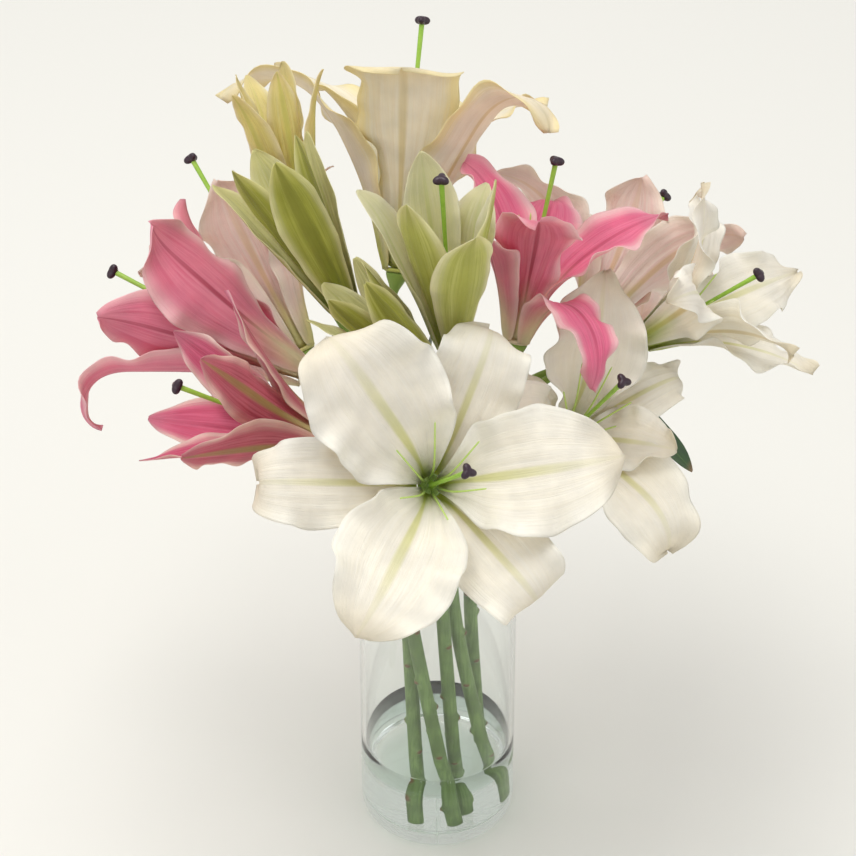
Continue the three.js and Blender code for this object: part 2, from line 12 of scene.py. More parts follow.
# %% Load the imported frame
import bpy
import numpy as np
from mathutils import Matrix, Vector


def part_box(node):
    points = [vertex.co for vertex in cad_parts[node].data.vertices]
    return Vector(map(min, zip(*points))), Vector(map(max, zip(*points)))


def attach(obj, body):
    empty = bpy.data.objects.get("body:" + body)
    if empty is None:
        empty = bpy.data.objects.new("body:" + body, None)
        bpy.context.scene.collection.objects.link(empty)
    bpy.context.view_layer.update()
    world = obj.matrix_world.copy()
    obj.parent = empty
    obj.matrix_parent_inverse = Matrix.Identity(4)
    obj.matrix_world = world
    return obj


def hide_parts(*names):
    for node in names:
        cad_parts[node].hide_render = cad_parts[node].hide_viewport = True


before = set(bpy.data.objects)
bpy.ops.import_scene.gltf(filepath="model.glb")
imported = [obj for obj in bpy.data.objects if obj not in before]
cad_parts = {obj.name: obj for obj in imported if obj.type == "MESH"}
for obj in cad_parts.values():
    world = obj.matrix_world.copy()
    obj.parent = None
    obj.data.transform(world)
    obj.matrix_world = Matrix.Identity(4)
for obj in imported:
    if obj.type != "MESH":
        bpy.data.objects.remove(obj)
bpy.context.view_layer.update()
MM = 0.001
print("CAD nodes:", len(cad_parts))

# %% [markdown]
# ## Sizes that several pieces share
# The vase and the water are read from their CAD boxes. The rest are the maker's own sizes in
# millimetres, the same ones that the CAD model was drawn with. Only tepals and leaves are a hair
# thinner here, because ribs and waves add to them.

# %% Shared sizes
vase_low, vase_high = (np.array(corner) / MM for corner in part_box("vase"))
water_low, water_high = (np.array(corner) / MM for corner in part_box("water"))
VASE_RADIUS = (vase_high[0] - vase_low[0]) / 2
VASE_HEIGHT = vase_high[2]
VASE_WALL = 3.0
VASE_HEEL = 10.0
CLEARANCE = 0.35
VASE_BASE = water_low[2] - CLEARANCE
WATER_LEVEL = water_high[2]
VASE_INNER_RADIUS = VASE_RADIUS - VASE_WALL
STEM_DIAMETER = 9.0
PEDICEL_DIAMETER = 5.0
STYLE_DIAMETER = 3.0
FILAMENT_DIAMETER = 1.6
STIGMA_WIDTH = 9.0
TEPAL_THICKNESS = LEAF_THICKNESS = 0.9
print(f"vase {2 * VASE_RADIUS:.0f} x {VASE_HEIGHT:.0f} mm, water to {WATER_LEVEL:.0f} mm")

# %% [markdown]
# ## From a grid of points to a closed mesh
# Petals and leaves are thin sheets. They could be flat planes with a Solidify modifier, but then
# their edges would be as thick as their middles. Here a sheet is a grid of middle points, and two
# copies of it stand off along the normals by half a thickness that thins towards the edge. A
# strip of quads round the border closes it. Stems, glass and stigmas are rings of points along a
# line, closed by a fan of triangles at each end.

# %% Vectors and closed shells
def unit(v):
    """Each vector divided by its length."""
    return v / np.maximum(np.linalg.norm(v, axis=-1, keepdims=True), 1e-9)


def ease(x):
    """A smooth step: x squared times (3 - 2x), with x held between 0 and 1."""
    x = np.clip(x, 0.0, 1.0)
    return x * x * (3.0 - 2.0 * x)


def turned_out(points, quads, tris):
    """The same faces, turned round if the volume they enclose comes out negative."""
    corners = np.vstack([quads[:, [0, 1, 2]], quads[:, [0, 2, 3]], tris])
    a, b, c = (points[corners[:, k]] for k in range(3))
    if np.einsum("ij,ij->i", a, np.cross(b, c)).sum() < 0:
        return quads[:, ::-1], tris[:, ::-1]
    return quads, tris


def closed_sheet(middle, thickness):
    """A thin closed shell: middle + normal * thickness / 2 in front, middle - the same behind,
    and a strip of quads round the border. The normal is the cross product of the grid's two
    directions. Returns points, quads and tris."""
    normal = unit(np.cross(np.gradient(middle, axis=0), np.gradient(middle, axis=1)))
    half = normal * (thickness / 2)[..., None]
    points = np.vstack([(middle + half).reshape(-1, 3), (middle - half).reshape(-1, 3)])
    rows, columns = middle.shape[:2]
    n = np.arange(rows * columns).reshape(rows, columns)
    front = np.stack([n[:-1, :-1], n[:-1, 1:], n[1:, 1:], n[1:, :-1]], -1).reshape(-1, 4)
    back = front[:, ::-1] + n.size
    ring = np.concatenate([n[0], n[1:, -1], n[-1, -2::-1], n[-2:0:-1, 0]])
    after = np.roll(ring, -1)
    rim = np.stack([after, ring, ring + n.size, after + n.size], -1)
    quads = np.vstack([front, back, rim])
    tris = np.zeros((0, 3), int)
    return points, *turned_out(points, quads, tris)


def closed_rings(rings):
    """A closed skin over rings of points (rings x points round each x 3): quads between one ring
    and the next, and a fan of triangles to the middle of the first and last ring."""
    count, around = rings.shape[:2]
    n = np.arange(count * around).reshape(count, around)
    m = np.roll(n, -1, axis=1)
    quads = np.stack([n[:-1], m[:-1], m[1:], n[1:]], -1).reshape(-1, 4)
    poles = rings[[0, -1]].mean(axis=1)
    first, last = n.size, n.size + 1
    tris = np.vstack([
        np.stack([m[0], n[0], np.full(around, first)], -1),
        np.stack([n[-1], m[-1], np.full(around, last)], -1),
    ])
    points = np.vstack([rings.reshape(-1, 3), poles])
    return points, *turned_out(points, quads, tris)


# %% Shells into one piece
def make_piece(name, shells, finish, nodes):
    """One object from closed shells. A shell is (points in mm, quads, tris, marks), and marks
    are named arrays with a value for each point, which become the mesh's attributes."""
    mesh = bpy.data.meshes.new(name)
    starts = np.cumsum([0] + [len(shell[0]) for shell in shells])
    points = np.vstack([shell[0] for shell in shells]) * MM
    quads = np.vstack([shell[1] + start for shell, start in zip(shells, starts)])
    tris = np.vstack([shell[2] + start for shell, start in zip(shells, starts)])
    mesh.vertices.add(len(points))
    mesh.vertices.foreach_set("co", points.ravel())
    mesh.loops.add(quads.size + tris.size)
    mesh.loops.foreach_set("vertex_index", np.concatenate([quads.ravel(), tris.ravel()]))
    sizes = np.concatenate([np.full(len(quads), 4), np.full(len(tris), 3)])
    mesh.polygons.add(len(sizes))
    mesh.polygons.foreach_set("loop_start", np.concatenate([[0], np.cumsum(sizes)[:-1]]))
    mesh.polygons.foreach_set("use_smooth", np.ones(len(sizes), bool))
    mesh.update(calc_edges=True)
    for mark in shells[0][3]:
        values = np.concatenate([shell[3][mark] for shell in shells]).astype(np.float32)
        kind, key = ("FLOAT_VECTOR", "vector") if values.ndim == 2 else ("FLOAT", "value")
        mesh.attributes.new(mark, kind, "POINT").data.foreach_set(key, values.ravel())
    mesh.materials.append(finish)
    piece = bpy.data.objects.new(name, mesh)
    bpy.context.scene.collection.objects.link(piece)
    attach(piece, "root")
    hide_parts(*nodes)
    return piece


# %% [markdown]
# ## Finishes as small node graphs
# A petal is never one colour. Its finish reads two marks that the mesh carries: how far along the
# petal a point is, and how far from the midrib. Noise that is stretched along the petal breaks
# those bands up into veins. The helper below keeps such graphs short: each call adds one node and
# gives back its output.

# %% A helper that builds a finish
def paint(code):
    """Linear colour from a hex code of the everyday, gamma-coded kind."""
    shade = np.array([int(code[k:k + 2], 16) for k in (1, 3, 5)]) / 255
    return (*np.where(shade <= 0.04045, shade / 12.92, ((shade + 0.055) / 1.055) ** 2.4), 1.0)


class Finish:
    """A material whose nodes are added one call at a time."""

    def __init__(self, name):
        self.material = bpy.data.materials.new(name)
        self.material.use_nodes = True
        self.tree = self.material.node_tree
        self.tree.nodes.clear()
        self.end = self.add("ShaderNodeOutputMaterial")

    def add(self, kind, inputs=None, **settings):
        """A node with its settings, and its inputs given as values or as other outputs."""
        node = self.tree.nodes.new(kind)
        for key, value in settings.items():
            setattr(node, key, value)
        for key, value in (inputs or {}).items():
            if isinstance(value, bpy.types.NodeSocket):
                self.tree.links.new(value, node.inputs[key])
            else:
                node.inputs[key].default_value = value
        return node

    def mark(self, name, kind="Fac"):
        """An attribute that the mesh carries."""
        return self.add("ShaderNodeAttribute", attribute_name=name).outputs[kind]

    def parts(self, vector):
        """The three numbers of a vector."""
        return self.add("ShaderNodeSeparateXYZ", {0: vector}).outputs

    def join(self, x, y, z):
        """A vector of three numbers."""
        return self.add("ShaderNodeCombineXYZ", {0: x, 1: y, 2: z}).outputs[0]

    def sum(self, operation, a, b=0.0):
        """One sum, such as MULTIPLY or ADD."""
        return self.add("ShaderNodeMath", {0: a, 1: b}, operation=operation).outputs[0]

    def between(self, value, low, high, start=0.0, stop=1.0):
        """A smooth change from start to stop while value goes from low to high."""
        return self.add(
            "ShaderNodeMapRange",
            {"Value": value, "From Min": low, "From Max": high, "To Min": start, "To Max": stop},
            interpolation_type="SMOOTHSTEP").outputs[0]

    def noise(self, vector, scale, detail=2.0, roughness=0.5):
        """Cloudy noise between 0 and 1."""
        return self.add(
            "ShaderNodeTexNoise",
            {"Vector": vector, "Scale": scale, "Detail": detail, "Roughness": roughness},
            noise_dimensions="3D").outputs["Fac"]

    def mix(self, amount, under, over, blend="MIX"):
        """One colour laid over another by an amount."""
        node = self.add("ShaderNodeMix", {0: amount, 6: under, 7: over}, data_type="RGBA",
                        blend_type=blend)
        return node.outputs[2]

    def bump(self, height, distance, strength=1.0, under=None):
        """Small relief, distance metres high."""
        inputs = {"Height": height, "Distance": distance, "Strength": strength}
        if under is not None:
            inputs["Normal"] = under
        return self.add("ShaderNodeBump", inputs).outputs[0]

    def surface(self, shader):
        """Sends a shader to the surface and gives the material back."""
        self.tree.links.new(shader, self.end.inputs["Surface"])
        return self.material


# %% [markdown]
# ## Floor, light and camera
# The bunch stands on a plain pale floor. The light is that of a bright, soft studio: one large
# panel high over the bunch, weaker ones at the front left and at the right, and a pale surround
# that fills the shadows, so that white petals keep gentle greys. The camera looks down on the
# flowers from the front with a long lens, which keeps the vase's sides nearly parallel.

# %% Floor
def make_floor():
    """A wide flat square that the vase stands on."""
    half = 8.0
    mesh = bpy.data.meshes.new("floor")
    mesh.from_pydata([(-half, -half, 0), (half, -half, 0), (half, half, 0), (-half, half, 0)],
                     [], [(0, 1, 2, 3)])
    floor = bpy.data.objects.new("floor", mesh)
    bpy.context.scene.collection.objects.link(floor)
    finish = Finish("pale floor")
    shader = finish.add("ShaderNodeBsdfPrincipled",
                        {"Base Color": paint("#E4E2DC"), "Roughness": 0.9})
    mesh.materials.append(finish.surface(shader.outputs[0]))


make_floor()

# %% Light
bpy.context.scene.view_settings.view_transform = "Standard"


def light_panel(name, place, aim, size, watts, colour):
    """A square lamp at a place, turned towards the point aim."""
    lamp = bpy.data.lights.new(name, "AREA")
    lamp.size = size
    lamp.energy = watts
    lamp.color = colour
    panel = bpy.data.objects.new(name, lamp)
    panel.location = place
    look = np.array(aim) - np.array(place)
    panel.rotation_euler = Vector(look).to_track_quat("-Z", "Y").to_euler()
    bpy.context.scene.collection.objects.link(panel)


BOUQUET_MIDDLE = (0.0, 0.0, 0.35)
light_panel("key panel", (-0.4, 0.1, 2.3), BOUQUET_MIDDLE, 1.3, 27.0, (1.0, 0.99, 0.965))
light_panel("front panel", (-1.5, -1.9, 1.3), BOUQUET_MIDDLE, 1.6, 7.0, (1.0, 0.985, 0.96))
light_panel("side panel", (2.0, -0.7, 1.2), BOUQUET_MIDDLE, 1.6, 7.0, (0.98, 0.99, 1.0))

surround = bpy.data.worlds.new("surround")
surround.use_nodes = True
background = surround.node_tree.nodes["Background"].inputs
background["Color"].default_value = (0.93, 0.94, 0.94, 1)
background["Strength"].default_value = 0.8
bpy.context.scene.world = surround

# %% Camera
CAMERA_PLACE = (-0.0062, -1.8936, 1.9076)
CAMERA_PITCH = 39.976
lens = bpy.data.cameras.new("camera")
lens.sensor_width = 36.0
lens.lens = 169.4
lens.clip_start = 0.05
lens.clip_end = 60.0
camera = bpy.data.objects.new("camera", lens)
camera.location = CAMERA_PLACE
camera.rotation_euler = (np.radians(90.0 - CAMERA_PITCH), 0.0, 0.0)
bpy.context.scene.collection.objects.link(camera)
bpy.context.scene.camera = camera

# %% [markdown]
# ## The glass vase
# The real vase is a plain cylinder with a thick floor, a rounded heel and a rim that the fire has
# rounded. A cylinder with a Solidify modifier would give a wall, but neither the thick floor nor
# the soft corners. A profile that runs up the outside, over the rim and down the inside, and is
# turned about the axis, gives them all at once, as a glass-blower's mould does.

# %% Turning a profile
def arc(centre_radius, centre_height, radius, start, stop, steps):
    """(radius, height) points on part of a circle, from one angle to another in degrees."""
    angle = np.radians(np.linspace(start, stop, steps + 1))
    return np.stack([centre_radius + radius * np.cos(angle),
                     centre_height + radius * np.sin(angle)], -1)


def turned_shell(profile, around):
    """A profile of (radius, height) pairs turned about the upright axis: x = radius * cos(a),
    y = radius * sin(a), z = height."""
    angle = np.linspace(0, 2 * np.pi, around, endpoint=False)
    radius, height = profile[:, :1], profile[:, 1:]
    rings = np.stack([radius * np.cos(angle), radius * np.sin(angle),
                      height + 0 * angle], -1)
    return closed_rings(rings)


AXIS_GAP = 0.01
FLAT_RADIUS = 20.0
FLOOR_FILLET = 8.0
AROUND_VASE = 192
SIDE_FROM, SIDE_TO = 30, VASE_HEIGHT - 12
lip = VASE_WALL / 2
vase_profile = np.vstack([
    [(AXIS_GAP, 0.0), (FLAT_RADIUS, 0.0)],
    arc(VASE_RADIUS - VASE_HEEL, VASE_HEEL, VASE_HEEL, -90, 0, 16),
    [(VASE_RADIUS, z) for z in np.linspace(SIDE_FROM, SIDE_TO, 8)],
    arc(VASE_RADIUS - lip, VASE_HEIGHT - lip, lip, 0, 180, 10),
    [(VASE_INNER_RADIUS, z) for z in np.linspace(SIDE_TO, SIDE_FROM, 8)],
    arc(VASE_INNER_RADIUS - FLOOR_FILLET, VASE_BASE + FLOOR_FILLET, FLOOR_FILLET, 0, -90, 14),
    [(FLAT_RADIUS, VASE_BASE), (AXIS_GAP, VASE_BASE)],
])
print("vase profile points:", len(vase_profile))

# %% [markdown]
# Glass is a Principled shader with full transmission and no roughness. On its own it would throw
# a hard dark shadow, because lamps are not followed through a bend in this renderer. For rays
# from lamps, and for soft light that has left a dull surface, it is swapped for a nearly clear
# shader, so that the stems inside are lit.

# %% Glass and water
def clear_finish(name, tint, bend, lamp_tint):
    """A clear solid that bends light by its index, and lets lamps through a little tinted."""
    finish = Finish(name)
    glass = finish.add("ShaderNodeBsdfPrincipled", {
        "Base Color": paint(tint), "Roughness": 0.0, "IOR": bend, "Transmission Weight": 1.0})
    lamps = finish.add("ShaderNodeBsdfTransparent", {"Color": paint(lamp_tint)})
    path = finish.add("ShaderNodeLightPath")
    swap = finish.add("ShaderNodeMixShader", {
        0: finish.sum("MAXIMUM", path.outputs["Is Shadow Ray"], path.outputs["Is Diffuse Ray"]),
        1: glass.outputs[0], 2: lamps.outputs[0]})
    return finish.surface(swap.outputs[0])


vase_glass = clear_finish("vase glass", "#FDFFFE", 1.45, "#F8FBFA")
make_piece("glass_vase", [(*turned_shell(vase_profile, AROUND_VASE), {})], vase_glass,
           ["vase"])

# %% [markdown]
# ## The water
# Water creeps up the glass a little where it meets it. Its side reaches a hair into the glass: if
# a film of air were left between the two, the wall would look like a mirror.

# %% Water
IN_GLASS = 0.1
CREEP_HEIGHT = 1.6
CREEP_WIDTH = 4.0
HALF_WAY_UP = 40.0
water_radius = VASE_INNER_RADIUS + IN_GLASS
water_floor = VASE_BASE - IN_GLASS
surface_radius = np.linspace(water_radius, 0, 60)
creep = CREEP_HEIGHT * np.exp(-(water_radius - surface_radius) / (CREEP_WIDTH / 3))
water_profile = np.vstack([
    [(AXIS_GAP, water_floor), (FLAT_RADIUS, water_floor)],
    arc(water_radius - FLOOR_FILLET, water_floor + FLOOR_FILLET, FLOOR_FILLET, -90, 0, 14),
    [(water_radius, HALF_WAY_UP)],
    np.stack([np.maximum(surface_radius, AXIS_GAP), WATER_LEVEL - CREEP_HEIGHT / 3 + creep], -1),
])
water_finish = clear_finish("vase water", "#FCFEFD", 1.33, "#F8FCFA")
make_piece("vase_water", [(*turned_shell(water_profile, AROUND_VASE), {})], water_finish,
           ["water"])
print(f"water holds {np.pi * water_radius ** 2 * (WATER_LEVEL - VASE_BASE) / 1e6:.2f} litres")

# %% [markdown]
# ## Paths that pieces follow
# Stems, flower stalks, styles and filaments are all round rods on a smooth path. A Bezier curve
# with a bevel would do, but its ends are open and its rings cannot bulge. Here the path is a
# spline through a few points, and the rings are laid on it by formula, so a stem can have knobs
# where its leaves were pulled off.

# %% Smooth paths and rods
def spline(points, shares):
    """A centripetal Catmull-Rom spline: the points at some shares, from 0 to 1, of each span.
    A span's tangents come from its neighbours, divided by the square roots of their distances."""
    p = np.array(points, float)
    p = np.vstack([2 * p[0] - p[1], p, 2 * p[-1] - p[-2]])
    gap = np.sqrt(np.linalg.norm(np.diff(p, axis=0), axis=1))[:, None]
    slope = np.diff(p, axis=0) / gap
    before, here, after = gap[:-2], gap[1:-1], gap[2:]
    start = (slope[:-2] - (p[2:-1] - p[:-3]) / (before + here) + slope[1:-1]) * here
    stop = (slope[1:-1] - (p[3:] - p[1:-2]) / (here + after) + slope[2:]) * here
    a, b, start, stop = (side[:, None] for side in (p[1:-2], p[2:-1], start, stop))
    u = np.array(shares)[None, :, None]
    return (a + start * u + (-3 * a + 3 * b - 2 * start - stop) * u ** 2
            + (2 * a - 2 * b + start + stop) * u ** 3)


def lengths(path):
    """The distance run along a path at each of its points."""
    return np.concatenate([[0], np.cumsum(np.linalg.norm(np.diff(path, axis=0), axis=1))])


def smooth_path(points, count):
    """Points of the spline at count even distances."""
    fine = spline(points, np.linspace(0, 1, 41)).reshape(-1, 3)
    run = lengths(fine)
    even = np.linspace(0, run[-1], count)
    return np.stack([np.interp(even, run, fine[:, k]) for k in range(3)], -1)


def ring_frame(path):
    """Two directions across a path: the plane that the path most nearly lies in gives a vector
    that is never along it, and cross products with the tangent give the pair."""
    tangent = unit(np.gradient(path, axis=0))
    spread = np.linalg.svd(path - path.mean(axis=0))[2]
    side = unit(np.cross(tangent, np.broadcast_to(spread[-1], tangent.shape)))
    return side, np.cross(side, tangent)


def rod(path, radius, around):
    """Rings round a path: point = path + radius * (side * cos(a) + other * sin(a)). The radius
    is one number, one for each ring, or one for each point of each ring."""
    side, other = ring_frame(path)
    angle = np.linspace(0, 2 * np.pi, around, endpoint=False)[None, :, None]
    radius = np.array(radius, float)
    radius = radius.reshape(radius.shape + (1,) * (2 - radius.ndim))
    reach = np.broadcast_to(radius, (len(path), around))[..., None]
    out = side[:, None] * np.cos(angle) + other[:, None] * np.sin(angle)
    return closed_rings(path[:, None] + reach * out)


def round_ends(path, radius, at_start=True, at_end=True):
    """A radius for each ring that shrinks like a quarter circle at the rod's ends."""
    run = lengths(path)
    near = np.minimum(run if at_start else run[-1] + radius,
                      (run[-1] - run) if at_end else run[-1] + radius)
    x = np.clip(near / np.maximum(radius * 0.6, 1e-6), 0, 1)
    return radius * np.sqrt(np.maximum(1 - (1 - x) ** 2, 0.0025))


def about_axis(base, axis, profile, around, lobes=0, lobe_depth=0.0):
    """A profile of (radius, height) pairs turned about an axis through base. With lobes, the
    radius is multiplied by 1 + lobe_depth * cos(lobes * a)."""
    north, west = across_axis(axis)
    angle = np.linspace(0, 2 * np.pi, around, endpoint=False)[None, :, None]
    radius = profile[:, :1, None] * (1 + lobe_depth * np.cos(lobes * angle))
    rings = base + profile[:, 1:, None] * axis + radius * (north * np.cos(angle)
                                                           + west * np.sin(angle))
    return closed_rings(rings)


def facing(azimuth, elevation):
    """A direction from an azimuth (0 to the front, 90 to the right) and an elevation."""
    a, e = np.radians(azimuth), np.radians(elevation)
    return np.array([np.sin(a) * np.cos(e), -np.cos(a) * np.cos(e), np.sin(e)])


def across_axis(axis):
    """Two directions across an axis: the upward one, and the one to its left."""
    up = np.array([0.0, 0.0, 1.0])
    north = unit(up - axis * (up @ axis))
    return north, np.cross(axis, north)


def from_rim(place):
    """A point given from the middle of the vase's rim."""
    return np.array([place[0], place[1], VASE_HEIGHT + place[2]], float)


# %% [markdown]
# ## The flower heads
# Each head stands at a point over the middle of the vase's rim and looks out along an azimuth and
# an elevation. Its six tepals stand in two rings of three: numbers 0, 2 and 4 are the broad inner
# ones, and 1, 3 and 5 the narrower outer ones. Only what differs from head to head is listed:
# how far a tepal opens from the axis, how far its tip curls back, its length and its width.

# %% Table of heads
def ring(opening, curl, length, width, **more):
    """What the three tepals of a ring share: two angles in degrees and two sizes in mm."""
    return dict(open=opening, curl=curl, length=length, width=width, **more)


HEADS = [
    dict(name="front_white_lily", kind="white", at=(-5, -78, 91), azimuth=9,
         elevation=42, turn=-90,
         inner=ring(60, 95, 132, 76, widest=0.58),
         outer=ring(68, 205, 132, 56, widest=0.66, bendFrom=0.68),
         change={0: dict(bend=6, length=136), 1: dict(swing=5, length=126),
                 2: dict(swing=3, curl=150, length=144, width=84, widest=0.64, bendFrom=0.77),
                 3: dict(swing=-6, curl=230, length=142, width=52, bendFrom=0.74),
                 4: dict(swing=-6, curl=120, length=136, width=78, bendFrom=0.72),
                 5: dict(swing=4, length=118)},
         style=88, lean=(12, 4), stamens="apart", tepals="apart"),
    dict(name="top_white_lily", kind="cream", at=(-25, 92, 125), azimuth=170,
         elevation=55, turn=0,
         inner=ring(26, 100, 150, 72), outer=ring(31, 175, 172, 52, bendFrom=0.55),
         change={0: dict(curl=110, length=144, width=96, widest=0.66, bendFrom=0.82),
                 1: dict(length=178), 4: dict(swing=18, length=158),
                 5: dict(swing=-12, open=34, curl=155, length=184, bendFrom=0.48)},
         style=152, stamens="joined"),
    dict(name="centre_green_lily", kind="green_white", at=(8, -20, 152), azimuth=-128,
         elevation=86, turn=30,
         inner=ring(15, 8, 122, 46), outer=ring(19, 42, 120, 44, bendFrom=0.7),
         change={1: dict(open=16, curl=50, length=102)},
         style=118),
    dict(name="left_green_bud", kind="olive", at=(-55, -10, 172), azimuth=-130,
         elevation=52, turn=30,
         inner=ring(11, 6, 108, 38), outer=ring(14, 24, 108, 36, bendFrom=0.7)),
    dict(name="top_left_yellow_bud", kind="yellow_white", at=(-86, 62, 192), azimuth=-153,
         elevation=63, turn=0,
         inner=ring(9, 2, 88, 26), outer=ring(13, 38, 88, 24, bendFrom=0.6)),
    dict(name="small_green_bud", kind="olive", at=(-2, -45, 144), azimuth=-104,
         elevation=47, turn=30,
         inner=ring(8, 4, 88, 28), outer=ring(11, 22, 88, 26, bendFrom=0.7)),
    dict(name="left_pink_lily", kind="pink", at=(-83, 2, 114), azimuth=-115,
         elevation=15, turn=45,
         inner=ring(25, 45, 128, 64, bendFrom=0.7),
         outer=ring(30, 120, 132, 52, bendFrom=0.6),
         change={0: dict(curl=60), 1: dict(open=27, curl=60, length=112),
                 3: dict(open=28, curl=200, length=168, width=60, bendFrom=0.62),
                 5: dict(open=28, curl=80, width=72, length=134, bendFrom=0.75)},
         style=132, stamens="joined"),
    dict(name="left_back_pink_lily", kind="blush", at=(-87, 94, 58), azimuth=-142,
         elevation=36, turn=-20,
         inner=ring(20, 50, 122, 62), outer=ring(26, 100, 125, 48),
         style=140, stamens="joined"),
    dict(name="left_front_pink_lily", kind="rose", at=(-68, -60, 110), azimuth=-89,
         elevation=27, turn=-30,
         inner=ring(28, 28, 110, 38), outer=ring(34, 38, 110, 38),
         style=96),
    dict(name="centre_pink_lily", kind="pink", at=(49, 35, 115), azimuth=151,
         elevation=66, turn=20,
         inner=ring(24, 80, 115, 62), outer=ring(30, 120, 125, 50),
         change={1: dict(open=70, curl=200, length=118, width=38, bendFrom=0.22, swing=-18),
                 2: dict(swing=-6, open=42, curl=70, length=120, width=56), 3: dict(open=46)},
         style=112, stamens="joined"),
    dict(name="right_back_pink_lily", kind="blush", at=(95, 95, 75), azimuth=152,
         elevation=16, turn=4,
         inner=ring(24, 70, 100, 60), outer=ring(30, 120, 125, 46),
         change={5: dict(open=58, curl=140, length=135)},
         style=112, stamens="joined"),
    dict(name="right_white_lily", kind="white", at=(76, 24, 38), azimuth=35,
         elevation=56, turn=-30,
         inner=ring(44, 80, 120, 70), outer=ring(55, 140, 128, 50),
         change={1: dict(swing=26, length=84),
                 3: dict(swing=34, open=60, curl=175, length=126, width=60, widest=0.64,
                         bendFrom=0.58),
                 4: dict(swing=8, open=44, curl=60, length=84, width=50),
                 5: dict(open=58, curl=185, length=112, width=34)},
         style=108, stamens="apart"),
    dict(name="far_right_white_lily", kind="white", at=(129, 53, 99), azimuth=92,
         elevation=35, turn=-14, via=(66, 62, 62),
         inner=ring(36, 70, 112, 50), outer=ring(42, 110, 116, 40),
         change={1: dict(curl=150), 2: dict(open=32), 3: dict(length=106, curl=70),
                 5: dict(length=106)},
         style=82, stamens="apart"),
]
WHORLS = (dict(radius=5.5, rise=0.0, claw=4.0, throat=12.0),
          dict(radius=8.0, rise=-3.0, claw=5.0, throat=16.0))
STRAIGHT = dict(swing=0.0, bend=0.0, bendFrom=0.4, widest=0.52)
HUB_HALF_HEIGHT = 1.2


def tepals_of(head):
    """The six tepals of a head: the ring's own values, then the head's, then its changes."""
    rings = ({**WHORLS[0], **head["inner"]}, {**WHORLS[1], **head["outer"]})
    tepals = []
    for i in range(6):
        tepal = {**STRAIGHT, **rings[i % 2], **head.get("change", {}).get(i, {})}
        tepal["turn"] = head["turn"] + 60 * i + tepal["swing"]
        tepals.append(tepal)
    return tepals


for head in HEADS:
    head["base"] = from_rim(head["at"])
    head["axis"] = facing(head["azimuth"], head["elevation"])
print("heads:", len(HEADS))

# %% [markdown]
# ## The shape of a tepal
# A lily tepal leaves the throat as a narrow claw, widens, and bends out and back. Its midrib is
# traced first, by adding up small steps whose lean from the axis grows along the way. Each point
# of the midrib then carries an arc across it, which follows the cone that the whole trumpet makes,
# so that neighbours close up into a funnel near the base and lie open further out.

# %% The plain surface of a tepal
TIP_WIDTH = 2.0
WIDTH_RISE = 0.92
WHORL_FILL = 0.84


def half_width(s, tepal):
    """Half the width: claw * (1 - s)^2, plus a blade that is widest at the share called widest
    and falls to a point, plus a blunt tip."""
    widest = tepal["widest"]
    fall = WIDTH_RISE * (1 - widest) / widest
    blade = (s / widest) ** WIDTH_RISE * ((1 - s) / (1 - widest)) ** fall
    return tepal["claw"] * (1 - s) ** 2 + tepal["width"] / 2 * blade + TIP_WIDTH / 2 * s ** 4


def lean(s, tepal):
    """The angle from the flower's axis to the midrib: it opens first and curls later."""
    opening = tepal["throat"] + (tepal["open"] - tepal["throat"]) * ease(s / 0.55)
    bent = np.clip((s - tepal["bendFrom"]) / (1 - tepal["bendFrom"]), 0, 1) ** 1.6
    return np.radians(opening + (tepal["curl"] - tepal["open"]) * bent)


def tepal_surface(head, tepal, rows, columns):
    """A grid of points: midrib + across * half * sin(c t) / c
    + normal * half * (1 - cos(c t)) / c, where t runs from -1 to 1 across and c is how much the
    arc bends. Also gives s, t and half."""
    axis = head["axis"]
    north, west = across_axis(axis)
    s = np.linspace(0, 1, rows)
    step = s[1] * tepal["length"]

    def outward(x):
        turn = np.radians(tepal["turn"] + tepal["bend"] * x ** 2)[:, None]
        return north * np.cos(turn) + west * np.sin(turn)

    middle = (s[1:] + s[:-1]) / 2
    angle = lean(middle, tepal)[:, None]
    steps = (np.cos(angle) * axis + np.sin(angle) * outward(middle)) * step
    start = head["base"] + axis * tepal["rise"] + outward(s[:1]) * tepal["radius"]
    midrib = start + np.vstack([np.zeros((1, 3)), np.cumsum(steps, axis=0)])
    reach = tepal["radius"] + np.concatenate([[0], np.cumsum(np.sin(angle[:, 0])) * step])
    angle = lean(s, tepal)[:, None]
    out = outward(s)
    across = np.cross(axis, out)
    normal = np.sin(angle) * axis - np.cos(angle) * out
    cone = np.cos(angle[:, 0]) / np.maximum(reach, tepal["radius"])
    room = WHORL_FILL * np.pi / 3 / np.maximum(cone, 0.001)
    full = half_width(s, tepal)
    half = full / (1 + (full / room) ** 4) ** 0.25
    curve = cone * half
    curve = np.where(np.abs(curve) < 0.001, 0.001, curve)[:, None]
    t = np.linspace(-1, 1, columns)[None, :]
    sideways = half[:, None] * np.sin(curve * t) / curve
    inwards = half[:, None] * (1 - np.cos(curve * t)) / curve
    grid = midrib[:, None] + across[:, None] * sideways[..., None] \
        + normal[:, None] * inwards[..., None]
    return grid, s[:, None] + 0 * t, t + 0 * s[:, None], half[:, None] + 0 * t


# %% [markdown]
# A plain surface like that still looks like plastic. A real tepal has a channel down the middle,
# a few shallow furrows beside it, and an edge that grew longer than the middle and so had to fall
# into waves. All of these are heights along the surface's own normal, added up as formulas.

# %% Ruffles, furrows and the midrib's channel
CHANNEL_DEPTH = 0.9
CHANNEL_WIDTH = 1.9
FURROW_DEPTH = 0.4
RIB_HEIGHT = 1.0
RIB_WIDTH = 2.2


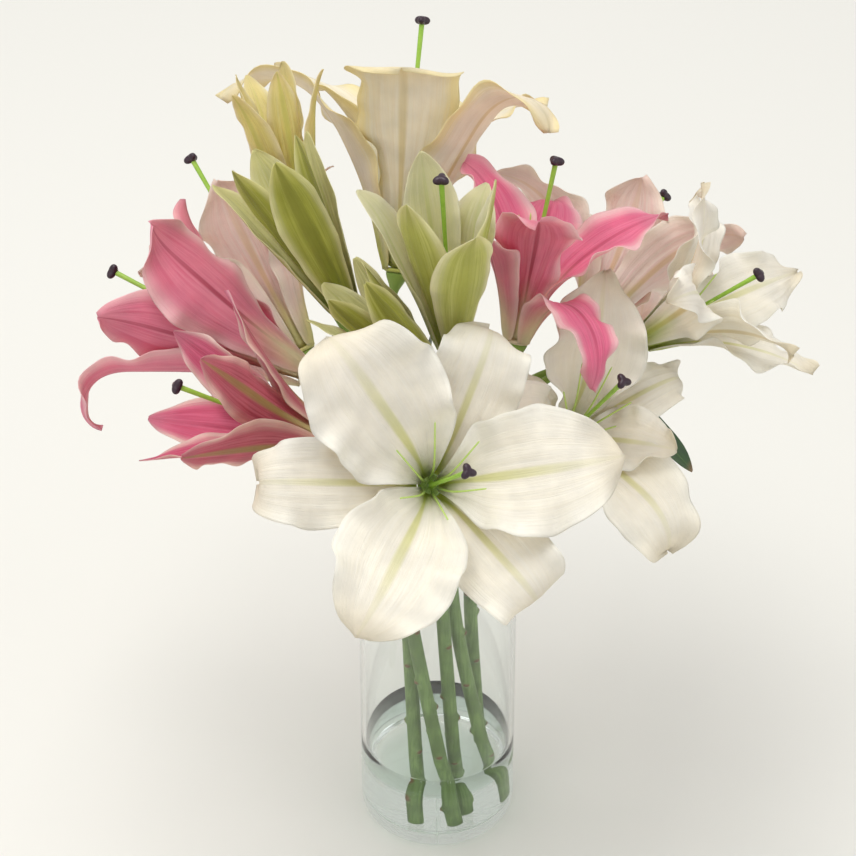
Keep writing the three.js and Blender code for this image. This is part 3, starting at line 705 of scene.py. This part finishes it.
def relief(s, t, half, ruffle, chance):
    """Height in mm: minus a bell-shaped channel on the midrib, furrows that are a cosine across,
    waves that grow with the distance from the midrib to the power 2.6, and a slow sway."""
    phase = chance.uniform(0, 2 * np.pi, 6)
    side = np.where(t < 0, 0, 1)
    count = chance.uniform(2.0, 3.2, 2)[side]
    edge = np.abs(t) ** 2.6 * ease((s - 0.16) / 0.3)
    waves = ruffle * edge * (np.sin(2 * np.pi * count * s + phase[side])
                             + 0.35 * np.sin(2 * np.pi * 2.3 * count * s + phase[2 + side]))
    channel = -CHANNEL_DEPTH * np.exp(-(t * half / CHANNEL_WIDTH) ** 2) * (1 - s) ** 0.5
    furrows = FURROW_DEPTH * np.cos(2 * np.pi * 3.5 * t) * (1 - t ** 2) * np.sin(np.pi * s)
    sway = 0.35 * ruffle * np.sin(2 * np.pi * s * 0.9 + phase[4]) * t * ease((s - 0.3) / 0.4)
    return (waves + channel + furrows + sway) * ease(s / 0.08)


def tepal_shell(head, tepal, ruffle, chance, rows=60, columns=35):
    """One closed tepal with its marks: petal is (across, along, chance), inner is 1 in front."""
    grid, s, t, half = tepal_surface(head, tepal, rows, columns)
    normal = unit(np.cross(np.gradient(grid, axis=0), np.gradient(grid, axis=1)))
    grid = grid + normal * relief(s, t, half, ruffle, chance)[..., None]
    rib = RIB_HEIGHT * np.exp(-(t * half / RIB_WIDTH) ** 2) * (1 - s)
    grid = grid - normal * (rib / 2)[..., None]
    thickness = TEPAL_THICKNESS * (1 - 0.55 * t ** 2) * (1 - 0.3 * s) + rib
    points, quads, tris = closed_sheet(grid, thickness)
    own = chance.uniform(0, 10)
    petal = np.stack([t, s, own + 0 * s], -1).reshape(-1, 3)
    marks = {"petal": np.vstack([petal, petal]),
             "inner": np.repeat([1.0, 0.0], grid.shape[0] * grid.shape[1])}
    return points, quads, tris, marks


# %% [markdown]
# ## The colours of a tepal
# The finish lays bands over each other, each moved about by veins so that no border is straight:
# the blade, a paler edge, a greenish heart at the base, the rib down the middle and the tip. The
# front and the back of a tepal are painted differently, and the mark called inner chooses. A
# third of the shader is Translucent, because light from behind glows through a real petal.

# %% Petal finish
def petal_finish(name, front, back):
    """front and back each give hex codes for blade, vein, edge, heart, rib and tip."""
    finish = Finish(name)
    across_signed, along, own = finish.parts(finish.mark("petal", "Vector"))
    across = finish.sum("ABSOLUTE", across_signed)
    lines = finish.join(finish.sum("MULTIPLY", across_signed, 9.0),
                        finish.sum("MULTIPLY", along, 1.4), own)
    veins = finish.noise(lines, 2.2, 4.0, 0.62)
    place = finish.add("ShaderNodeTexCoord").outputs["Object"]
    cloud = finish.noise(place, 55.0, 3.0)
    stray = finish.sum("MULTIPLY_ADD", veins, 0.36)
    stray.node.inputs[2].default_value = -0.18

    def painted(colours):
        edge = finish.between(finish.sum("ADD", across, stray), 0.55, 1.02)
        heart = finish.between(finish.sum("ADD", finish.sum("MULTIPLY", across, 0.22), along),
                               0.06, colours.get("heart_to", 0.42), 1.0, 0.0)
        rib_width = colours.get("rib_width", 0.1)
        rib = finish.between(finish.sum("ADD", across, finish.sum("MULTIPLY", stray, 0.15)),
                             rib_width * 0.35, rib_width, 1.0, 0.0)
        rib = finish.sum("MULTIPLY", rib, finish.between(along, 0.3, 1.0, 1.0,
                                                         colours.get("rib_end", 0.25)))
        tip = finish.between(along, 0.8, 1.02)
        coat = finish.mix(finish.between(veins, 0.3, 0.72), paint(colours["blade"]),
                          paint(colours["vein"]))
        coat = finish.mix(edge, coat, paint(colours["edge"]))
        coat = finish.mix(finish.sum("MULTIPLY", tip, 0.7), coat, paint(colours["tip"]))
        coat = finish.mix(finish.sum("MULTIPLY", rib, 0.85), coat, paint(colours["rib"]))
        return finish.mix(heart, coat, paint(colours["heart"]))

    coat = finish.mix(finish.mark("inner"), painted(back), painted(front))
    shade = finish.between(cloud, 0.25, 0.75, 0.93, 1.04)
    coat = finish.mix(1.0, coat, finish.join(shade, shade, shade), blend="MULTIPLY")
    grain = finish.noise(place, 900.0, 2.0)
    fine = finish.noise(finish.join(finish.sum("MULTIPLY", across_signed, 30.0),
                                    finish.sum("MULTIPLY", along, 2.0), own), 2.2, 2.0)
    streak = finish.between(fine, 0.3, 0.7, 0.98, 1.01)
    coat = finish.mix(1.0, coat, finish.join(streak, streak, streak), blend="MULTIPLY")
    bump = finish.bump(veins, 0.001, 0.6)
    bump = finish.bump(fine, 0.0003, 0.5, bump)
    bump = finish.bump(grain, 0.00012, 0.6, bump)
    sheet = finish.add("ShaderNodeBsdfPrincipled", {
        "Base Color": coat, "Roughness": 0.46, "Specular IOR Level": 0.35, "Normal": bump,
        "Sheen Weight": 0.12, "Sheen Roughness": 0.5})
    warm = finish.mix(1.0, coat, paint("#FFFCF4"), blend="MULTIPLY")
    glow = finish.add("ShaderNodeBsdfTranslucent", {"Color": warm, "Normal": bump})
    both = finish.add("ShaderNodeMixShader", {0: 0.36, 1: sheet.outputs[0], 2: glow.outputs[0]})
    return finish.surface(both.outputs[0])


# %% Petal colours
def scheme(codes, **bands):
    """The colours of one side of a tepal, and how far its heart and rib reach."""
    return {**dict(zip(("blade", "vein", "edge", "heart", "rib", "tip"), codes.split())), **bands}


PETAL_FINISHES = {
    "white": petal_finish(
        "white petal",
        scheme("#FBF8F1 #F9F5EB #FCFAF4 #B2C03A #DEDF98 #F4EBD5",
               heart_to=0.34, rib_width=0.11, rib_end=0.1),
        scheme("#F8F3E6 #F4EDDB #FAF7EE #BAC560 #DCC690 #ECDFBF",
               rib_width=0.14)),
    "cream": petal_finish(
        "cream petal",
        scheme("#FBF6E6 #F8F0DA #F8EDBE #B9C24E #E3E0A0 #F6EAC0",
               heart_to=0.34),
        scheme("#FCF7EA #F9F1DF #F8ECBC #C4C86A #E4D3A2 #F7E9BE",
               rib_width=0.1, rib_end=0.4)),
    "pink": petal_finish(
        "pink petal",
        scheme("#F58CAE #EA6C94 #FBD8DA #F8EFD0 #CC4069 #F6A6BC",
               heart_to=0.5, rib_width=0.1, rib_end=0.4),
        scheme("#F19CB2 #E67F9A #F9D2D4 #F4EAC4 #B23A56 #F1A7B4",
               heart_to=0.45, rib_width=0.07, rib_end=0.5)),
    "rose": petal_finish(
        "rose petal",
        scheme("#E9789A #DA5A7E #F8E0D8 #F2E8C2 #BE3B60 #EC96AC"),
        scheme("#D9788A #C55C6C #F1CFC4 #E7DDA2 #A99A52 #D07F88",
               heart_to=0.4, rib_width=0.2, rib_end=0.7)),
    "blush": petal_finish(
        "blush petal",
        scheme("#FADCD9 #F5C8CA #FBF0E8 #DEDD90 #E5A1A2 #F5DACA"),
        scheme("#FCF1EA #F9E3DE #FCF4EA #E6E2A0 #EAD0A8 #F6DCD0",
               rib_width=0.14)),
    "green_white": petal_finish(
        "green-white petal",
        scheme("#F4F0CE #ECE9B8 #F9F5E0 #B4BE4E #D3D884 #F1EBC2"),
        scheme("#CFD07C #B7BA58 #F3EFC6 #A3AB3C #B2B452 #E9E2A4",
               rib_width=0.3, rib_end=0.8)),
    "olive": petal_finish(
        "olive petal",
        scheme("#ECE9B4 #DFDC92 #F4F0C8 #9DA838 #C1C566 #E8E19E"),
        scheme("#B9B955 #9FA038 #E9E5AC #959C36 #8A8A2C #DBD582",
               rib_width=0.34, rib_end=0.9)),
    "yellow_white": petal_finish(
        "butter petal",
        scheme("#F7EDB4 #F0E39A #F9F2CE #C4C95E #DCD87C #F3E4AC"),
        scheme("#F1E5A0 #E8D984 #F8EBC2 #B9C050 #D2CD6A #EDD79C",
               rib_width=0.22, rib_end=0.7)),
}
SLOTS = {"white": "white_tepal", "cream": "white_tepal", "pink": "pink_tepal",
         "rose": "pink_tepal", "blush": "blush_tepal", "green_white": "green_white_tepal",
         "olive": "green_white_tepal", "yellow_white": "green_white_tepal"}
RUFFLES = {"white": 5.6, "cream": 5.5, "pink": 3.6, "blush": 3.6, "rose": 1.8}
OWN_RUFFLES = {"centre_pink_lily": 4.2, "right_back_pink_lily": 4.2}
BUD_RUFFLE = 0.8
print("petal finishes:", len(PETAL_FINISHES))

# %% [markdown]
# ## Growing the tepals
# Every tepal draws its own chances from a seeded generator, so no two are alike and every run
# gives the same bunch. Three tepals of one ring make one piece, with a small disc between them,
# except on the big front flower, where each tepal is a piece of its own.

# %% Tepal pieces
def hub(head, ring):
    """The disc that a ring of tepals grows from, a flat profile turned about the axis."""
    radius, rise, high = ring["radius"] + 0.3, ring["rise"], HUB_HALF_HEIGHT
    profile = np.array([(0.01, rise - high), (radius - 1, rise - high), (radius, rise - high / 2),
                        (radius, rise + high / 2), (radius - 1, rise + high),
                        (0.01, rise + high)])
    points, quads, tris = about_axis(head["base"], head["axis"], profile, 36)
    petal = np.tile([0.5, 0.0, 0.0], (len(points), 1))
    return points, quads, tris, {"petal": petal, "inner": np.ones(len(points))}


def grow_tepals(head, chance):
    """The six tepals of a head as pieces that stand for its CAD nodes."""
    name = head["name"]
    finish, slot = PETAL_FINISHES[head["kind"]], SLOTS[head["kind"]]
    ruffle = OWN_RUFFLES.get(name, RUFFLES.get(head["kind"], BUD_RUFFLE))
    shells = [tepal_shell(head, tepal, ruffle, chance) for tepal in tepals_of(head)]
    for ring, label in enumerate(("inner", "outer")):
        if "tepals" in head:
            for k in range(3):
                node = f"{name}_{label}_tepal_{k + 1}"
                make_piece(node + "_petal", [shells[2 * k + ring]], finish, [node])
        else:
            node = f"{name}_{label}_tepals"
            make_piece(node + "_petals", [hub(head, WHORLS[ring]), *shells[ring::2]],
                       finish, [node])


for number, head in enumerate(HEADS):
    grow_tepals(head, np.random.default_rng(100 + number))
    print("tepals of", head["name"])

# %% [markdown]
# ## Pistils and stamens
# In the middle of a lily stands one pistil: a grooved ovary, a long style, and a sticky stigma
# with three lobes that is almost black here. Six filaments stand round it; florists pinch their
# rust-coloured anthers off, so these end bare. On most heads they are one piece with the pistil,
# and on the big open ones a piece of their own. One finish serves both, because a mark says
# which part of the heart a point belongs to.

# %% Heart finish
FILAMENT, STYLE, STIGMA = 0.0, 1.0, 2.0


def heart_finish():
    """Pale filaments, a green style and a dark, wet stigma, chosen by the mark called part."""
    finish = Finish("pistil")
    part = finish.mark("part")
    place = finish.add("ShaderNodeTexCoord").outputs["Object"]
    cloud = finish.noise(place, 260.0, 3.0)
    green = finish.mix(cloud, paint("#7FAE33"), paint("#A3C84F"))
    pale = finish.mix(cloud, paint("#B4D162"), paint("#CBE08A"))
    dark = finish.mix(cloud, paint("#1D0E1A"), paint("#3A2030"))
    coat = finish.mix(finish.between(part, 0.4, 0.6), pale, green)
    coat = finish.mix(finish.between(part, 1.4, 1.6), coat, dark)
    beads = finish.noise(place, 1400.0, 2.0)
    bump = finish.bump(beads, 0.0003, 0.5)
    shader = finish.add("ShaderNodeBsdfPrincipled", {
        "Base Color": coat, "Roughness": 0.38, "Normal": bump})
    return finish.surface(shader.outputs[0])


HEART = heart_finish()
HEART_START = HUB_HALF_HEIGHT + CLEARANCE
OVARY_RADIUS, OVARY_LENGTH = 2.4, 22.0
FILAMENT_RING = 3.7
FILAMENT_RISE = 9.0
FILAMENT_SHARE, FILAMENT_SPREAD = 0.66, 0.42


def marked(shell, part):
    """The shell with every point marked as one part of the heart."""
    return (*shell, {"part": np.full(len(shell[0]), part)})


# %% Pistils
def pistil_shells(head):
    """Ovary, style and stigma. The stigma is a knob whose radius is multiplied by
    1 + 0.28 * cos(3 a), so that it has three lobes."""
    north, west = across_axis(head["axis"])
    length, (left, up) = head["style"], head.get("lean", (0, 0))
    axis = head["axis"]
    start = head["base"] + axis * HEART_START
    neck = start + axis * OVARY_LENGTH * 0.8
    end = head["base"] + axis * length - west * left + north * up
    middle = start + axis * length / 2 - west * left / 4 + north * up / 4
    path = smooth_path([neck, middle, end], 60)
    run = lengths(path) / lengths(path)[-1]
    style_radius = STYLE_DIAMETER / 2 * (0.78 + 0.34 * run ** 3)
    h = np.linspace(0, 1, 20)
    ovary = np.stack([OVARY_RADIUS * (0.8 + 0.35 * np.sin(np.pi * np.clip(h * 1.15, 0, 1)))
                      * (1 - 0.45 * h ** 3), h * OVARY_LENGTH], -1)
    a = np.linspace(-np.pi / 2, np.pi / 2, 18)
    knob = np.stack([STIGMA_WIDTH / 2 * 0.92 * np.cos(a) ** 0.7 + 0.01,
                     STIGMA_WIDTH * 0.3 * np.sin(a) + 0.4], -1)
    tip = unit(path[-1] - path[-4])
    return [
        marked(about_axis(start, axis, ovary, 36, 6, 0.05), STYLE),
        marked(rod(path, style_radius, 18), STYLE),
        marked(about_axis(path[-1], tip, knob, 48, 3, 0.28), STIGMA),
    ]


# %% Stamens
def stamen_shells(head, chance):
    """Six filaments from a ring round the ovary: each path leaves straight, then spreads, and
    its end rises a little, by FILAMENT_RISE * cos(elevation) towards the top of the head."""
    axis = head["axis"]
    north, west = across_axis(axis)
    start = head["base"] + axis * HEART_START
    reach = head["style"] * FILAMENT_SHARE
    spread = head["inner"]["open"] * FILAMENT_SPREAD
    rise = north * FILAMENT_RISE * np.cos(np.radians(head["elevation"]))
    shells = []
    for i in range(6):
        turn = np.radians(head["turn"] + 60 * i + 30)
        out = north * np.cos(turn) + west * np.sin(turn)
        side = np.cross(axis, out)
        stray = chance.uniform(-2.5, 2.5)
        path = smooth_path([
            start + axis * FILAMENT_DIAMETER / 2 + out * FILAMENT_RING,
            start + axis * reach * 0.5 + out * (FILAMENT_RING + spread * 0.3),
            start + axis * reach + out * (FILAMENT_RING + spread) + side * stray + rise], 40)
        run = lengths(path) / lengths(path)[-1]
        radius = round_ends(path, FILAMENT_DIAMETER / 2 * (1.05 - 0.45 * run))
        shells.append(marked(rod(path, radius, 10), FILAMENT))
    return shells


for number, head in enumerate(HEADS):
    if "style" not in head:
        continue
    pieces = [("style", pistil_shells(head), "pistil")]
    if "stamens" in head:
        stamens = stamen_shells(head, np.random.default_rng(300 + number))
        if head["stamens"] == "apart":
            pieces.append(("filaments", stamens, "stamens"))
        else:
            pieces = [("heart", pieces[0][1] + stamens, "stamens_and_pistil")]
    for label, shells, node in pieces:
        make_piece(f"{head['name']}_{label}", shells, HEART, [f"{head['name']}_{node}"])

# %% [markdown]
# ## Stems
# A cut lily stem is a firm green rod with a brown scar wherever a leaf was stripped. The scars go
# round the stem in a spiral, each turned by the golden angle from the last. A bell-shaped bump in
# the radius makes each one, and the same bell becomes a mark that the finish paints brown. At the
# fork the stem splits into thin stalks that swell into the seat of each flower.

# %% Table of stems
STEMS = [
    dict(name="stem_1", foot=(0.24, -0.71), waist=(-0.46, -0.54), fork=(-26, -16, 45),
         heads=("left_pink_lily", "left_back_pink_lily", "left_front_pink_lily")),
    dict(name="stem_2", foot=(-0.29, -0.66), waist=(-0.49, -0.12), fork=(-24, 6, 75),
         heads=("left_green_bud", "top_left_yellow_bud")),
    dict(name="stem_3", foot=(0.32, -0.34), waist=(0.05, -0.34), fork=(-2, -6, 60),
         heads=("top_white_lily", "centre_green_lily", "small_green_bud")),
    dict(name="stem_4", foot=(0.9, -0.2), waist=(0.2, -0.02), fork=(16, 16, 60),
         heads=("centre_pink_lily", "right_back_pink_lily", "far_right_white_lily")),
    dict(name="stem_5", foot=(0.71, 0.59), waist=(0.51, 0.2), fork=(28, -4, 20),
         heads=("front_white_lily", "right_white_lily")),
]
FOOT_GAP = 1.5
WAIST_BELOW_RIM = 50.0
SEAT_RADIUS, SEAT_LENGTH = 7.0, 9.0
STALK_LEAD = 30.0
FORK_SWELL, FORK_TAPER, YOUNG_AFTER = 1.3, 14, 40
AROUND_STEM, AROUND_STALK = 40, 24
GOLDEN_ANGLE = np.radians(137.5)
SCAR_SPACING = 21.0
SCAR_HEIGHT, SCAR_LENGTH, SCAR_WIDTH = 1.9, 2.0, 2.6
SCARS_FROM, SCARS_STOP_SHORT, SCAR_STRAY = 14.0, 8, 6


def stem_points(stem):
    """Foot, waist and fork. Foot and waist are shares of the room inside the vase."""
    room = VASE_INNER_RADIUS - STEM_DIAMETER / 2 - FOOT_GAP
    foot, waist = np.array(stem["foot"]) * room, np.array(stem["waist"]) * room
    return [np.array([*foot, VASE_BASE + FOOT_GAP]),
            np.array([*waist, VASE_HEIGHT - WAIST_BELOW_RIM]), from_rim(stem["fork"])]


def stalk_points(stem, head):
    """From the stem's fork to under the flower, which the stalk meets along its axis."""
    seat = head["base"] + head["axis"] * (WHORLS[1]["rise"] - HUB_HALF_HEIGHT - CLEARANCE)
    via = [from_rim(head["via"])] if "via" in head else []
    return [stem_points(stem)[2], *via, seat - head["axis"] * STALK_LEAD, seat]


# %% Stem shapes
def stem_shell(stem, chance):
    """The main rod: radius + SCAR_HEIGHT * the sum of bells exp(-(along / SCAR_LENGTH)^2
    - (round / SCAR_WIDTH)^2) at the scars."""
    path = smooth_path(stem_points(stem), 260)
    run = lengths(path)
    angle = np.linspace(0, 2 * np.pi, AROUND_STEM, endpoint=False)
    places = np.arange(SCARS_FROM, run[-1] - SCARS_STOP_SHORT, SCAR_SPACING)
    places = places + chance.uniform(-SCAR_STRAY, SCAR_STRAY, len(places))
    turns = GOLDEN_ANGLE * np.arange(len(places)) + chance.uniform(0, 2 * np.pi)
    apart = (angle[None, None] - turns[:, None, None] + np.pi) % (2 * np.pi) - np.pi
    radius = STEM_DIAMETER / 2
    bell = np.exp(-((run[None, :, None] - places[:, None, None]) / SCAR_LENGTH) ** 2
                  - (apart * radius / SCAR_WIDTH) ** 2).sum(axis=0)
    plain = round_ends(path, radius * (1.02 - 0.1 * run / run[-1]), at_start=False)[:, None]
    points, quads, tris = rod(path, plain + SCAR_HEIGHT * bell, AROUND_STEM)
    scar = np.concatenate([bell.ravel(), [0, 0]])
    along = np.concatenate([np.repeat(run, AROUND_STEM), [0, run[-1]]])
    stem_mark = np.stack([scar, along, 0 * scar], -1)
    return points, quads, tris, {"stem": stem_mark}


def stalk_shell(stem, head):
    """A flower's stalk, which is widest at the fork and swells again into the flower's seat."""
    path = smooth_path(stalk_points(stem, head), 120)
    run = lengths(path)
    left = run[-1] - run
    radius = PEDICEL_DIAMETER / 2 + FORK_SWELL * np.exp(-run / FORK_TAPER) \
        + (SEAT_RADIUS - PEDICEL_DIAMETER / 2) * (1 - ease(left / (SEAT_LENGTH * 1.5)))
    points, quads, tris = rod(path, radius, AROUND_STALK)
    young = np.concatenate([np.repeat(ease(run / YOUNG_AFTER), AROUND_STALK), [0, 1]])
    return points, quads, tris, {"stem": np.stack([0 * young, 0 * young, young], -1)}


# %% Stem finish
def stem_finish():
    """Grey-green with long streaks, brown at the scars and fresher green on the stalks."""
    finish = Finish("stem")
    scar, run, young = finish.parts(finish.mark("stem", "Vector"))
    place = finish.add("ShaderNodeTexCoord").outputs["Object"]
    x, y, z = finish.parts(place)
    streaks = finish.noise(finish.join(x, y, finish.sum("MULTIPLY", z, 0.06)), 700.0, 3.0)
    cloud = finish.noise(place, 60.0, 3.0)
    coat = finish.mix(finish.between(streaks, 0.3, 0.7), paint("#5F7A3C"), paint("#7A9450"))
    coat = finish.mix(finish.between(cloud, 0.35, 0.75), coat, paint("#52692F"))
    coat = finish.mix(finish.sum("MULTIPLY", young, 0.8), coat, paint("#83A145"))
    ragged = finish.sum("ADD", scar, finish.sum("MULTIPLY", streaks, 0.25))
    coat = finish.mix(finish.between(ragged, 0.55, 0.95), coat, paint("#6E4E2A"))
    bump = finish.bump(streaks, 0.0004, 0.5)
    shader = finish.add("ShaderNodeBsdfPrincipled", {
        "Base Color": coat, "Roughness": 0.5, "Specular IOR Level": 0.4, "Normal": bump})
    return finish.surface(shader.outputs[0])


STEM = stem_finish()
HEAD_NAMED = {head["name"]: head for head in HEADS}
for number, stem in enumerate(STEMS):
    shells = [stem_shell(stem, np.random.default_rng(500 + number))]
    shells += [stalk_shell(stem, HEAD_NAMED[name]) for name in stem["heads"]]
    make_piece(stem["name"] + "_green", shells, STEM, [stem["name"]])

# %% [markdown]
# ## Leaves
# The few leaves that are left are dark, glossy and folded a little along the midrib, with veins
# that run side by side from base to tip.

# %% Table of leaves
LEAVES = [
    dict(name="leaf_right", stem="stem_4", head="far_right_white_lily", at=0.38,
         azimuth=76, elevation=-14, droop=-52, length=110, width=28),
    dict(name="leaf_centre_high", stem="stem_2", at=0.97,
         azimuth=80, elevation=75, droop=85, length=90, width=16),
    dict(name="leaf_centre_low", stem="stem_4", at=0.98,
         azimuth=-30, elevation=70, droop=65, length=80, width=20),
    dict(name="leaf_left", stem="stem_1", at=0.95,
         azimuth=-95, elevation=50, droop=40, length=90, width=22),
    dict(name="leaf_mouth", stem="stem_1", at=0.62,
         azimuth=60, elevation=20, droop=-40, length=30, width=10),
]
LEAF_FOLD = np.radians(16.0)
LEAF_BLADE = dict(claw=2.5, widest=0.52)
LEAF_GAP = 1 + 2 * CLEARANCE
SPAN_STEPS = 200


def leaf_shell(leaf, rows=48, columns=21):
    """A grid: spine + across * half * t + normal * half * sin(fold) * |t|^1.3, where the spine
    leaves a stem and droops evenly from one elevation to another."""
    stem = next(stem for stem in STEMS if stem["name"] == leaf["stem"])
    points = stalk_points(stem, HEAD_NAMED[leaf["head"]]) if "head" in leaf else stem_points(stem)
    stem_width = PEDICEL_DIAMETER if "head" in leaf else STEM_DIAMETER
    out = facing(leaf["azimuth"], 0.0)
    up = np.array([0.0, 0.0, 1.0])
    across = np.cross(up, out)
    root, ahead = (spline_point(points, leaf["at"] + step) for step in (0.0, 0.01))
    tangent = unit(ahead - root)
    side = unit(out - tangent * (out @ tangent))
    start = root + side * (stem_width / 2 + LEAF_GAP)
    s = np.linspace(0, 1, rows)
    angle = np.radians(leaf["elevation"] + (leaf["droop"] - leaf["elevation"]) * s)[:, None]
    heading = out * np.cos(angle) + up * np.sin(angle)
    spine = start + np.vstack([np.zeros((1, 3)), np.cumsum(heading[:-1], axis=0)]) \
        * leaf["length"] / (rows - 1)
    normal = -np.cross(across, heading)
    half = half_width(s, {**LEAF_BLADE, "width": leaf["width"]})[:, None, None]
    t = np.linspace(-1, 1, columns)[None, :, None]
    wave = 0.8 * np.sin(5 * np.pi * s)[:, None, None] * t ** 3
    grid = spine[:, None] + across * half * t \
        + normal[:, None] * (half * np.sin(LEAF_FOLD) * np.abs(t) ** 1.3 + wave)
    t, s = t[..., 0] + 0 * s[:, None], s[:, None] + 0 * t[..., 0]
    thickness = LEAF_THICKNESS * (1 - 0.6 * t ** 2) + 0.8 * np.exp(-(t / 0.12) ** 2) * (1 - s)
    points, quads, tris = closed_sheet(grid, thickness)
    mark = np.stack([t, s, 0 * s], -1).reshape(-1, 3)
    return points, quads, tris, {"leaf": np.vstack([mark, mark])}


def spline_point(points, share):
    """The point a share of the way along the spline, counted in spans as the CAD does."""
    spans = len(points) - 1
    place = min(share * spans, spans - 1e-6)
    span = int(place)
    return spline(points, [round((place - span) * SPAN_STEPS) / SPAN_STEPS])[span, 0]


# %% Leaf finish
def leaf_finish():
    """Dark green with paler lines that run the leaf's length, and a waxy gloss."""
    finish = Finish("leaf")
    across, along, _ = finish.parts(finish.mark("leaf", "Vector"))
    lines = finish.noise(finish.join(finish.sum("MULTIPLY", across, 14.0), along, 0.0), 2.0, 3.0)
    place = finish.add("ShaderNodeTexCoord").outputs["Object"]
    cloud = finish.noise(place, 45.0, 3.0)
    coat = finish.mix(finish.between(lines, 0.3, 0.7), paint("#1C3F0C"), paint("#2C5716"))
    coat = finish.mix(finish.between(cloud, 0.4, 0.8), coat, paint("#14310A"))
    rib = finish.between(finish.sum("ABSOLUTE", across), 0.02, 0.09, 1.0, 0.0)
    coat = finish.mix(finish.sum("MULTIPLY", rib, 0.5), coat, paint("#6C8D45"))
    coat = finish.mix(finish.between(along, 0.93, 1.0), coat, paint("#7A5A33"))
    bump = finish.bump(lines, 0.0006, 0.5)
    shader = finish.add("ShaderNodeBsdfPrincipled", {
        "Base Color": coat, "Roughness": 0.34, "Coat Weight": 0.15, "Coat Roughness": 0.25,
        "Normal": bump})
    return finish.surface(shader.outputs[0])


LEAF = leaf_finish()
for leaf in LEAVES:
    make_piece(leaf["name"] + "_blade", [leaf_shell(leaf)], LEAF, [leaf["name"]])
